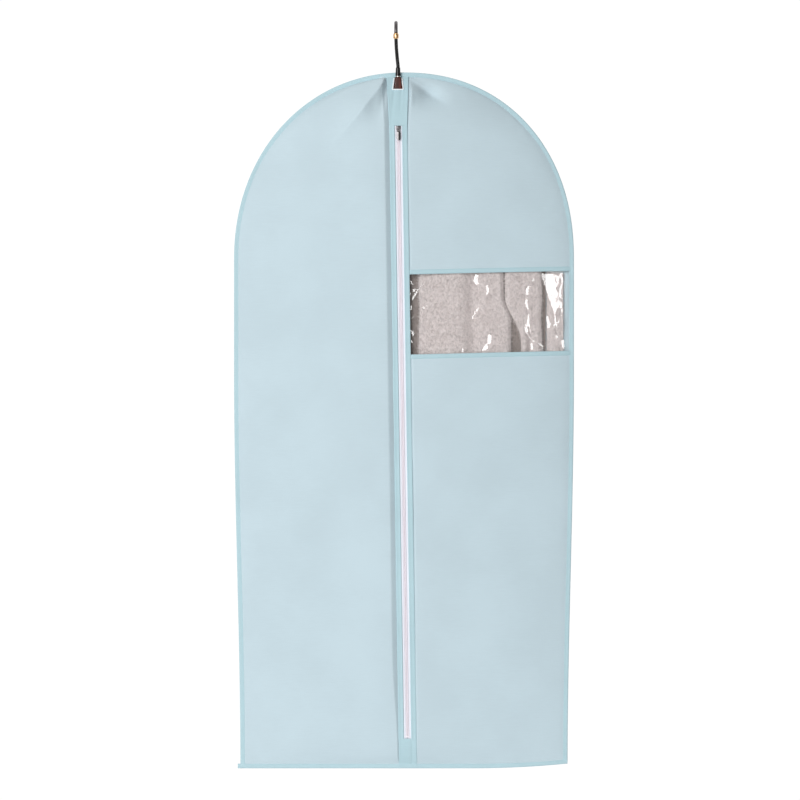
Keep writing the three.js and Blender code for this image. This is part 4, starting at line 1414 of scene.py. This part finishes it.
class GARMENT_OT_zip(bpy.types.Operator):
    """Build the zip's tapes, coils and stops"""

    bl_idname = "garment.zip"
    bl_label = "Zip"

    def execute(self, context):
        settings = context.scene.garment_cloth
        heights = np.linspace(-ZIP_LENGTH - 3.0, 5.0, 160)
        for side, name in ((-1, "left"), (1, "right")):
            section = np.array(
                [
                    (0.35, 0.85), (2.7, 0.85), (3.1, -0.28), (4.6, -0.28), (8.0, -0.25), (12.6, -0.25),
                    (12.8, 0.0), (12.6, 0.25), (3.4, 0.25), (3.0, 1.15), (0.35, 1.15),
                ]
            )
            path = zip_point(np.stack([0 * heights, 0 * heights, heights], axis=-1))
            section = section * np.array([side, 1.0])
            tape = swept("tape_" + name, path, section, finish_of("zip_tape"), across=ZIP_ACROSS)
            on_body(tape, "bag", "zip_tape", "zip_tape_" + name)
            coil = coil_teeth("coil_" + name, side, finish_of("coil_nylon"), settings.coil_pitch / MM)
            on_body(coil, "bag", "zip_nylon", "zip_coil_" + name)
            stop = rounded([(side * 0.4, 0.6), (side * 3.0, 0.6), (side * 3.0, 4.0), (side * 0.4, 4.0)], 0.5)
            stop = into_zip(plate("top_stop_" + name, stop, 1.5, 0.35, finish_of("nickel")))
            on_body(stop, "bag", "nickel", "zip_top_stop_" + name)
        low = 2.4 - ZIP_LENGTH
        block = rounded([(-3.0, low), (3.0, low), (3.0, low + 3.2), (-3.0, low + 3.2)], 0.8)
        block = into_zip(plate("bottom_stop", block, 2.0, 0.4, finish_of("coil_nylon")))
        on_body(block, "bag", "zip_nylon", "zip_bottom_stop")
        return {"FINISHED"}


class GARMENT_OT_slider(bpy.types.Operator):
    """Build the zip's slider and its pull"""

    bl_idname = "garment.slider"
    bl_label = "Slider and Pull"

    def execute(self, context):
        metal = finish_of("slider_metal")
        shield = rounded(
            [
                (-3.9, -0.9), (-2.2, -0.6), (0.0, -1.1), (2.2, -0.6), (3.9, -0.9),
                (3.9, -5.5), (2.9, -10.5), (-2.9, -10.5), (-3.9, -5.5),
            ],
            0.9,
        )
        parts = []
        for y in (-2.0, 2.0):
            face = plate("face", shield, 1.4, 0.4, metal)
            self.shift(face, y)
            parts.append(face)
        for side in (-1, 1):
            rail = np.array([(side * 3.6, -1.25, z) for z in np.linspace(-1.3, -6.5, 6)])
            lip = np.array([(-0.28, -0.45), (0.28, -0.45), (0.28, 0.42), (-0.28, 0.42)])
            for y in (0.0, 2.5):
                rail_path = rail + np.array([0.0, y, 0.0])
                parts.append(swept("lip", rail_path, lip, metal, across=SLIDER_ACROSS))
        web = np.array([(0.0, y, -1.6) for y in np.linspace(-1.5, 1.5, 4)])
        wall = np.array([(-0.2, -0.9), (0.2, -0.9), (0.2, 0.9), (-0.2, 0.9)])
        parts.append(swept("web", web, wall, metal, across=SLIDER_ACROSS))
        body = into_zip(joined("slider_body", parts))
        on_body(body, "zip_slider", "gunmetal", "zip_slider_body")

        arch = [
            (0.0, -2.5, -1.9), (0.0, -4.6, -1.95), (0.0, -5.6, -2.3), (0.0, -5.95, -3.4),
            (0.0, -5.95, -6.4), (0.0, -5.6, -7.6), (0.0, -4.6, -8.1), (0.0, -2.5, -8.2),
        ]
        section = np.array(rounded([(-0.9, -0.42), (0.9, -0.42), (0.9, 0.42), (-0.9, 0.42)], 0.35, 4))
        bridge = swept("slider_bridge", smooth_path(arch, 5), section, metal, across=SLIDER_ACROSS)
        on_body(into_zip(bridge), "zip_slider", "gunmetal", "zip_slider_bridge")
        self.pull(finish_of("pull_metal"))
        return {"FINISHED"}

    def shift(self, piece, y):
        for vertex in piece.data.vertices:
            vertex.co.y += y * MM

    def pull(self, metal):
        """The pull's front is a shallow roof, so its two halves catch different light."""
        rows = np.array(
            [-4.4, -4.7, -5.3, -5.6, -7.0, -9.2, -10.6, -10.9,
             -11.6, -13.0, -16.0, -19.0, -22.0, -24.2, -25.2, -25.75]
        )
        half = np.array([2.0, 2.5, 2.75, 2.8, 2.8, 2.8, 2.9, 3.0, 3.2, 3.4, 3.5, 3.5, 3.45, 3.1, 2.4, 1.4])
        across = np.array([-1.0, -0.8, -0.6, -0.3, 0.0, 0.3, 0.6, 0.8, 1.0])
        x = half[:, None] * across[None, :]
        z = np.repeat(rows[:, None], len(across), axis=1)
        roof = 0.7 * (1.0 - np.abs(x) / 3.5) * smoothstep(-z, 10.5, 12.0)
        y = -4.3 - 0.45 - roof
        keep = np.ones((len(rows) - 1, len(across) - 1), bool)
        keep[3:6, 2:6] = False
        points = np.stack([x, y, z], -1).reshape(-1, 3)
        tab = mesh_object("pull_tab", points, grid_faces(*x.shape, keep=keep), metal, False)
        shell = tab.modifiers.new("Thickness", "SOLIDIFY")
        shell.thickness = 0.95 * MM
        shell.offset = -1.0
        edge = tab.modifiers.new("Edges", "BEVEL")
        edge.width = 0.22 * MM
        edge.segments = 3
        edge.limit_method = "ANGLE"
        edge.angle_limit = math.radians(40)
        settle(tab, math.radians(8))
        on_body(into_zip(tab), "zip_pull", "gunmetal", "zip_pull_tab")


class GARMENT_OT_hanger(bpy.types.Operator):
    """Build the wooden hanger with its washer"""

    bl_idname = "garment.hanger"
    bl_label = "Hanger"

    def execute(self, context):
        def bend(a, b, c, steps=24):
            return [
                ((1 - t) ** 2 * a[0] + 2 * t * (1 - t) * b[0] + t * t * c[0],
                 (1 - t) ** 2 * a[1] + 2 * t * (1 - t) * b[1] + t * t * c[1])
                for t in np.linspace(0.0, 1.0, steps, endpoint=False)
            ]

        half = [(4.65, -90.8), (7.4, -112.0)]
        half += bend((7.4, -112.0), (9.4, -124.0), (18.0, -129.6), 8)[1:]
        half += bend((18.0, -129.6), (90.0, -150.0), (180.0, -205.0))
        half += bend((180.0, -205.0), (186.0, -217.0), (181.0, -229.0), 8)
        half += bend((181.0, -229.0), (90.0, -180.0), (0.0, -162.0))
        right = [(AXIS_X + a, b) for a, b in half]
        left = [(AXIS_X - a, b) for a, b in reversed(half)]
        bottom = [(AXIS_X, -162.0)]
        outline = [*right, *bottom, *left]
        body = plate("hanger_wood", outline, 10.0, 1.9, finish_of("mahogany"), resolution=4)
        on_body(body, "bag", "mahogany", "hanger_body")

        ring = [
            (3.5, -90.6), (4.35, -90.6), (4.6, -90.3), (4.7, -89.7),
            (4.55, -89.1), (4.2, -88.8), (3.5, -88.8),
        ]
        washer = turned("washer", ring, finish_of("nickel"))
        on_body(washer, "bag", "nickel", "hanger_washer")
        return {"FINISHED"}


class GARMENT_OT_hook(bpy.types.Operator):
    """Build the swivel hook with its ferrule, tip cap and retainer"""

    bl_idname = "garment.hook"
    bl_label = "Hook"

    def execute(self, context):
        route = [
            (AXIS_X, 0.0, -132.5), (AXIS_X, 0.0, -110.0), (AXIS_X, 0.0, -92.0),
            (AXIS_X, 0.0, -82.0), (AXIS_X, 0.0, -72.0), (AXIS_X - 1.2, 0.8, -60.0),
            (AXIS_X - 2.2, 5.5, -48.0), (AXIS_X - 3.0, 14.5, -36.0),
        ]
        for angle in np.linspace(-0.2, math.pi, 16):
            route.append((0.0, 20.0 * math.cos(angle), -17.0 + 20.0 * math.sin(angle)))
        path = smooth_path(route, 7)
        wire = swept("wire", path, circle(3.0, 28), finish_of("hook_lacquer"))
        on_body(wire, "hook", "black_metal", "hook_wire")

        cap = [
            (0.0, -27.2), (3.2, -27.1), (4.1, -26.6), (4.6, -25.6), (4.7, -24.0), (4.7, -20.8),
            (4.5, -19.4), (4.0, -18.6), (3.6, -18.3), (3.65, -17.7), (3.4, -17.2), (3.0, -17.1),
            (0.0, -17.1),
        ]
        cap = turned("tip_cap", cap, finish_of("cap_brass"), x=0.0, y=-20.0)
        on_body(cap, "hook", "gold_metal", "hook_tip_cap")

        ferrule = [
            (3.0, -88.5), (4.2, -88.5), (4.55, -88.0), (4.5, -86.4), (4.25, -83.0),
            (4.0, -78.0), (3.9, -75.2), (3.65, -74.3), (3.0, -74.0),
        ]
        ferrule = turned("ferrule", ferrule, finish_of("ferrule_black"))
        on_body(ferrule, "hook", "black_metal", "hook_ferrule")

        flange = [(3.1, -131.2), (5.3, -131.2), (5.6, -130.9), (5.6, -128.6), (5.3, -128.4), (3.1, -128.4)]
        flange = turned("retainer", flange, finish_of("nickel"))
        on_body(flange, "hook", "nickel", "hook_retainer")
        return {"FINISHED"}


# ---- The coat ----
def coat_front_y(x, z):
    """The coat lies behind the bag's front and behind its hollows."""
    room = 2.2 * np.exp(-(((x - zip_x(z)) / 60.0) ** 2))
    return front_y(x, z) + 3.6 + room + np.maximum(0.0, -front_relief(x, z) - 0.6)


def coat_y(x, z, depth, thickness=2.0):
    """A layer of the coat that far behind its front, and always in front of the bag's back."""
    return np.minimum(coat_front_y(x, z) + depth, back_y(x, z) - thickness - 2.2)


def coat_rows(dense=True):
    """Heights of rows down the coat, close together behind the window."""
    if not dense:
        return np.linspace(-150.0, -1030.0, 130)
    return np.concatenate(
        [np.linspace(-215.0, -412.0, 30, endpoint=False), np.linspace(-412.0, -584.0, 105, endpoint=False),
         np.linspace(-584.0, -1030.0, 60)]
    )


def within_right(limit, inset):
    """A right edge at limit, or at inset from the bag's side where that is narrower."""
    return lambda z: np.minimum(limit, side_x(z, 1, inset))


def fluffy(x, z, height):
    """Uneven surface of brushed pile."""
    return height * (0.6 * waves(x, z, 11.0, 21, 2) + 0.4 * waves(x, z, 4.5, 22, 1))


def coat_part(name, x, z, depth, material, slot="wool", thickness=2.0, nodes=()):
    y = coat_y(x, z, depth, thickness)
    part = cloth_sheet(name, x, z, y, material, thickness=thickness)
    on_body(part, "bag", slot, *nodes)
    return part


def pile_bed(name, x, z, y, material):
    """The faces that carry pile: those behind the window, and a narrow return down each edge."""
    x = np.hstack([x[:, :1], x, x[:, -1:]])
    z = np.hstack([z[:, :1], z, z[:, -1:]])
    y = np.hstack([y[:, :1] + 3.0, y, y[:, -1:] + 3.0])
    inside = (z[:-1, 0] < -420.0) & (z[:-1, 0] > -578.0)
    keep = np.repeat(inside[:, None], x.shape[1] - 1, axis=1)
    points = np.stack([x, y, z], -1).reshape(-1, 3)
    return mesh_object(name, points, grid_faces(*x.shape, keep=keep), material)


class GARMENT_OT_coat(bpy.types.Operator):
    """Build the coat that hangs in the bag, with pile where the window shows it"""

    bl_idname = "garment.coat"
    bl_label = "Coat"

    def execute(self, context):
        settings = context.scene.garment_coat
        wool, lining_gap_shade = finish_of("wool"), finish_of("lining_gap_shade")
        heights = coat_rows()

        z_rows = [float(h) for h in heights]
        x, z = sheet_grid(z_rows, lambda z: 39.7 + 0.8 * np.sin(z / 21.0), self.right_edge, 108, 0.0)
        depth = 6.0 * np.exp(-(((x - 131.0) / 12.5) ** 2))
        depth = depth + 4.5 * np.exp(-(((x - 38.5) / 3.0) ** 2)) + 0.8 * (1.0 + np.sin(x / 21.0))
        edge = self.right_edge(z)
        depth = depth + 4.5 * np.exp(-(((x - edge) / 3.2) ** 2)) + fluffy(x, z, 1.3)
        self.with_pile("coat_right", x, z, depth, wool, settings, 31, ("coat_front",))

        x, z = sheet_grid(z_rows, self.sleeve_left, self.sleeve_right, 44, 0.0)
        start = self.sleeve_left(z)
        depth = 3.0 * np.exp(-(((x - start) / 4.0) ** 2)) + 3.0 * np.exp(-(((x - 251.0) / 4.0) ** 2))
        lower = smoothstep(-z, 500.0, 545.0)
        groove = 3.0 * np.exp(-(((x - 229.0) / 4.5) ** 2))
        lobe = 1.2 * np.exp(-(((x - 221.0) / 4.0) ** 2))
        depth = depth + lower * (groove - lobe)
        depth = depth + 0.8 + fluffy(x, z, 1.3)
        self.with_pile("coat_sleeve_right_front", x, z, depth, wool, settings, 32, ("coat_sleeve_right",))

        side_rows = [h for h in z_rows if -840.0 < h < -340.0]
        x, z = sheet_grid(side_rows, level(260.0), within_right(288.0, 12.0), 20, 0.0)
        depth = 4.2 * np.exp(-(((x - 260.0) / 7.0) ** 2)) + 1.5 + fluffy(x, z, 0.3)
        self.with_pile("coat_sleeve_right_side", x, z, depth, wool, settings, 33, ())

        # A sheet behind the coat's pieces: the coat's lining. Its dark colour is partly painted shade for
        # the gaps between the pieces.
        x, z = sheet_grid(z_rows, level(-8.0), within_right(258.0, 32.0), 60, 0.0)
        depth = 8.5 + fluffy(x, z, 0.8)
        coat_part("coat_lining_gap_shade", x, z, depth, lining_gap_shade, thickness=1.0)

        rows = [float(h) for h in coat_rows(False)]
        x, z = sheet_grid(rows, self.shoulder_left, level(15.0), 44, 0.0)
        coat_part("coat_left", x, z, 1.0 + fluffy(x, z, 0.5), wool)
        x, z = sheet_grid(rows, self.shoulder_left, lambda z: 2 * AXIS_X - self.shoulder_left(z), 60, 0.0)
        y = back_y(x, z) - 2.9 + fluffy(x, z, 0.5)
        back = cloth_sheet("coat_back_cloth", x, z, y, wool, thickness=2.0, back=True)
        on_body(back, "bag", "wool", "coat_back")

        sleeve = [float(h) for h in np.linspace(-232.0, -850.0, 90)]
        x, z = sheet_grid(sleeve, self.sleeve_outer, level(-175.0), 24, 0.0)
        share = (x - x[:, :1]) / (x[:, -1:] - x[:, :1]) * 2.0 - 1.0
        depth = 2.5 * np.abs(share) ** 3 + fluffy(x, z, 0.5)
        coat_part("coat_sleeve_left_front", x, z, depth, wool, nodes=("coat_sleeve_left",))
        return {"FINISHED"}

    def right_edge(self, z):
        return 184.5 + 13.0 * smoothstep(-np.asarray(z, float), 468.0, 512.0)

    def sleeve_outer(self, z):
        """The left sleeve's outer edge, kept inside the bag's side."""
        return np.maximum(-262.0 + BAG_X, side_x(z, -1, 26.0))

    def sleeve_right(self, z):
        return np.minimum(250.5 + 0.7 * np.sin(z / 13.0), side_x(z, 1, 30.0))

    def sleeve_left(self, z):
        return 187.5 + 28.0 * smoothstep(-np.asarray(z, float), 468.0, 545.0)

    def shoulder_left(self, z):
        """The coat's left outline follows the hanger's shoulder."""
        drop = np.clip((-129.0 - np.asarray(z, float)) / 76.0, 0.0, 1.0)
        return AXIS_X - lerp(26.0, 172.0, drop)

    def with_pile(self, name, x, z, depth, wool, settings, seed, nodes):
        coat_part(name, x, z, depth, wool, nodes=nodes)
        if settings.pile_density == 0:
            return
        bed = pile_bed(name + "_bed", x, z, coat_y(x, z, depth), wool)
        tufts = pile_on(
            name + "_pile", bed, wool, settings.pile_density, settings.pile_length / MM, 0.3, seed
        )
        on_body(tufts, "bag", "wool")


class GARMENT_OT_stitching(bpy.types.Operator):
    """Build the rows of stitches along the bindings, the strip and the window"""

    bl_idname = "garment.stitching"
    bl_label = "Stitching"

    def execute(self, context):
        route = edge_route()
        into = inward(route)
        front_row = route + into * 6.3 + np.array([0.0, -1.62, 0.0])
        back_row = route + into * 6.3 + np.array([0.0, 1.62, 0.0])
        x = np.linspace(float(side_x(HEM_Z, -1)) - 1.0, float(side_x(HEM_Z, 1)) - 2.0, 120)
        hem = np.stack([x, np.full_like(x, SEAM_Y - 1.68), hem_z(x) + 6.3], axis=-1)
        hem_back = hem + np.array([0.0, 3.36, 0.0])
        self.rows("binding_stitches", [front_row, hem])
        self.rows("binding_stitches_back", [back_row, hem_back])

        heights = np.linspace(-ZIP_LENGTH + 1.0, -1.0, 60)
        strip_rows = []
        for offset in (-13.0, -7.6, 7.6, 13.0):
            level_y = -1.9 if abs(offset) < 10.0 else -1.86
            across = np.full_like(heights, offset)
            points = np.stack([across, np.full_like(heights, level_y), heights], axis=-1)
            strip_rows.append(zip_point(points))
        self.rows("strip_stitches", strip_rows)

        window_rows = []
        x = np.linspace(26.0, 296.0, 110)
        for drop in (-6.4, -1.4, WINDOW_HEIGHT + 1.4, WINDOW_HEIGHT + 6.4):
            z = window_line(drop)(x)
            window_rows.append(np.stack([x, front_surface(x, z) - 0.9, z], axis=-1))
        self.rows("window_stitches", window_rows)
        return {"FINISHED"}

    def rows(self, name, runs):
        cloth = bpy.context.scene.garment_cloth
        stitch = cloth.stitch_length / MM
        thread = finish_of("sewing_thread")
        made = stitch_rows(name, runs, thread, stitch, 0.28 * stitch, cloth.stitch_radius / MM)
        on_body(made, "bag", "binding")


class GARMENT_OT_stage(bpy.types.Operator):
    """Build the pale floor, the lights, the surround and the camera"""

    bl_idname = "garment.stage"
    bl_label = "Stage"

    def execute(self, context):
        scene = context.scene
        settings = scene.garment_stage
        self.floor()
        self.light("key_light", (-1.2, -4.6, -0.36), (0.1, 0.0, -0.5), (1.4, 3.2), settings.key_light)
        self.light("side_light", (-2.1, -3.6, 1.2), (0.0, 0.0, -0.6), (1.6, 1.6), settings.side_light)
        self.surround(settings.surround)
        camera_data = bpy.data.cameras.new("camera")
        camera_data.sensor_width = 36.0
        camera_data.lens = 36.0 * 5.002 / 1.3792
        camera_data.clip_end = 100.0
        camera = bpy.data.objects.new("camera", camera_data)
        camera.location = (0.0069, -5.0, -0.647)
        camera.rotation_euler = (math.pi / 2.0, 0.0, 0.0)
        scene.collection.objects.link(camera)
        scene.camera = camera
        scene.view_settings.view_transform = "Standard"
        return {"FINISHED"}

    def floor(self):
        floor = Finish("studio_floor")
        shader = floor.surface(Base_Color=(0.82, 0.83, 0.84), Roughness=0.8)
        floor.done(shader)
        angles = np.linspace(0.0, 2.0 * math.pi, 96, endpoint=False)
        points = [(1600.0 * math.cos(a), 1600.0 * math.sin(a), -1620.0) for a in angles]
        disc = mesh_object("studio_floor", points, [tuple(range(96))], floor.material, False)

    def light(self, name, place, target, size, power):
        data = bpy.data.lights.new(name, "AREA")
        data.shape = "RECTANGLE"
        data.size, data.size_y = size
        data.energy = power
        lamp = bpy.data.objects.new(name, data)
        lamp.location = place
        lamp.rotation_euler = (Vector(target) - Vector(place)).to_track_quat("-Z", "Y").to_euler()
        bpy.context.scene.collection.objects.link(lamp)

    def surround(self, front):
        """White behind the bag and dimmer in front of it, as a studio is."""
        world = bpy.data.worlds.new("studio")
        world.use_nodes = True
        tree = world.node_tree
        tree.nodes.clear()
        place = tree.nodes.new("ShaderNodeTexCoord")
        apart = tree.nodes.new("ShaderNodeSeparateXYZ")
        share = tree.nodes.new("ShaderNodeMapRange")
        share.interpolation_type = "SMOOTHSTEP"
        share.inputs["From Min"].default_value = -0.3
        share.inputs["From Max"].default_value = 0.5
        share.inputs["To Min"].default_value = front
        share.inputs["To Max"].default_value = 1.03
        background = tree.nodes.new("ShaderNodeBackground")
        background.inputs["Color"].default_value = (1.0, 1.0, 1.0, 1.0)
        out = tree.nodes.new("ShaderNodeOutputWorld")
        tree.links.new(place.outputs["Generated"], apart.inputs[0])
        tree.links.new(apart.outputs["Y"], share.inputs["Value"])
        tree.links.new(share.outputs[0], background.inputs["Strength"])
        tree.links.new(background.outputs[0], out.inputs[0])
        bpy.context.scene.world = world


PIECES = (
    GARMENT_OT_panels,
    GARMENT_OT_bindings,
    GARMENT_OT_strip,
    GARMENT_OT_window,
    GARMENT_OT_zip,
    GARMENT_OT_slider,
    GARMENT_OT_hanger,
    GARMENT_OT_hook,
    GARMENT_OT_coat,
    GARMENT_OT_stitching,
    GARMENT_OT_stage,
)

SETTINGS = {
    "garment_cloth": GarmentClothSettings,
    "garment_fittings": GarmentFittingsSettings,
    "garment_coat": GarmentCoatSettings,
    "garment_stage": GarmentStageSettings,
}


class GARMENT_PT_build(bpy.types.Panel):
    """Lists the bag's sizes, colours and pieces"""

    bl_label = "Garment Bag"
    bl_idname = "GARMENT_PT_build"
    bl_space_type = "VIEW_3D"
    bl_region_type = "UI"
    bl_category = "Garment Bag"

    def draw(self, context):
        layout = self.layout
        for name, group in SETTINGS.items():
            box = layout.box()
            settings = getattr(context.scene, name)
            for key in group.__annotations__:
                box.prop(settings, key)
        for piece in PIECES:
            layout.operator(piece.bl_idname)


def register():
    for settings in SETTINGS.values():
        bpy.utils.register_class(settings)
    for name, settings in SETTINGS.items():
        setattr(bpy.types.Scene, name, PointerProperty(type=settings))
    for piece in PIECES:
        bpy.utils.register_class(piece)
    bpy.utils.register_class(GARMENT_PT_build)


def unregister():
    bpy.utils.unregister_class(GARMENT_PT_build)
    for piece in reversed(PIECES):
        bpy.utils.unregister_class(piece)
    for name in SETTINGS:
        delattr(bpy.types.Scene, name)
    for settings in reversed(list(SETTINGS.values())):
        bpy.utils.unregister_class(settings)


def main():
    register()
    for piece in PIECES:
        group, name = piece.bl_idname.split(".")
        getattr(getattr(bpy.ops, group), name)()


if __name__ == "__main__":
    main()
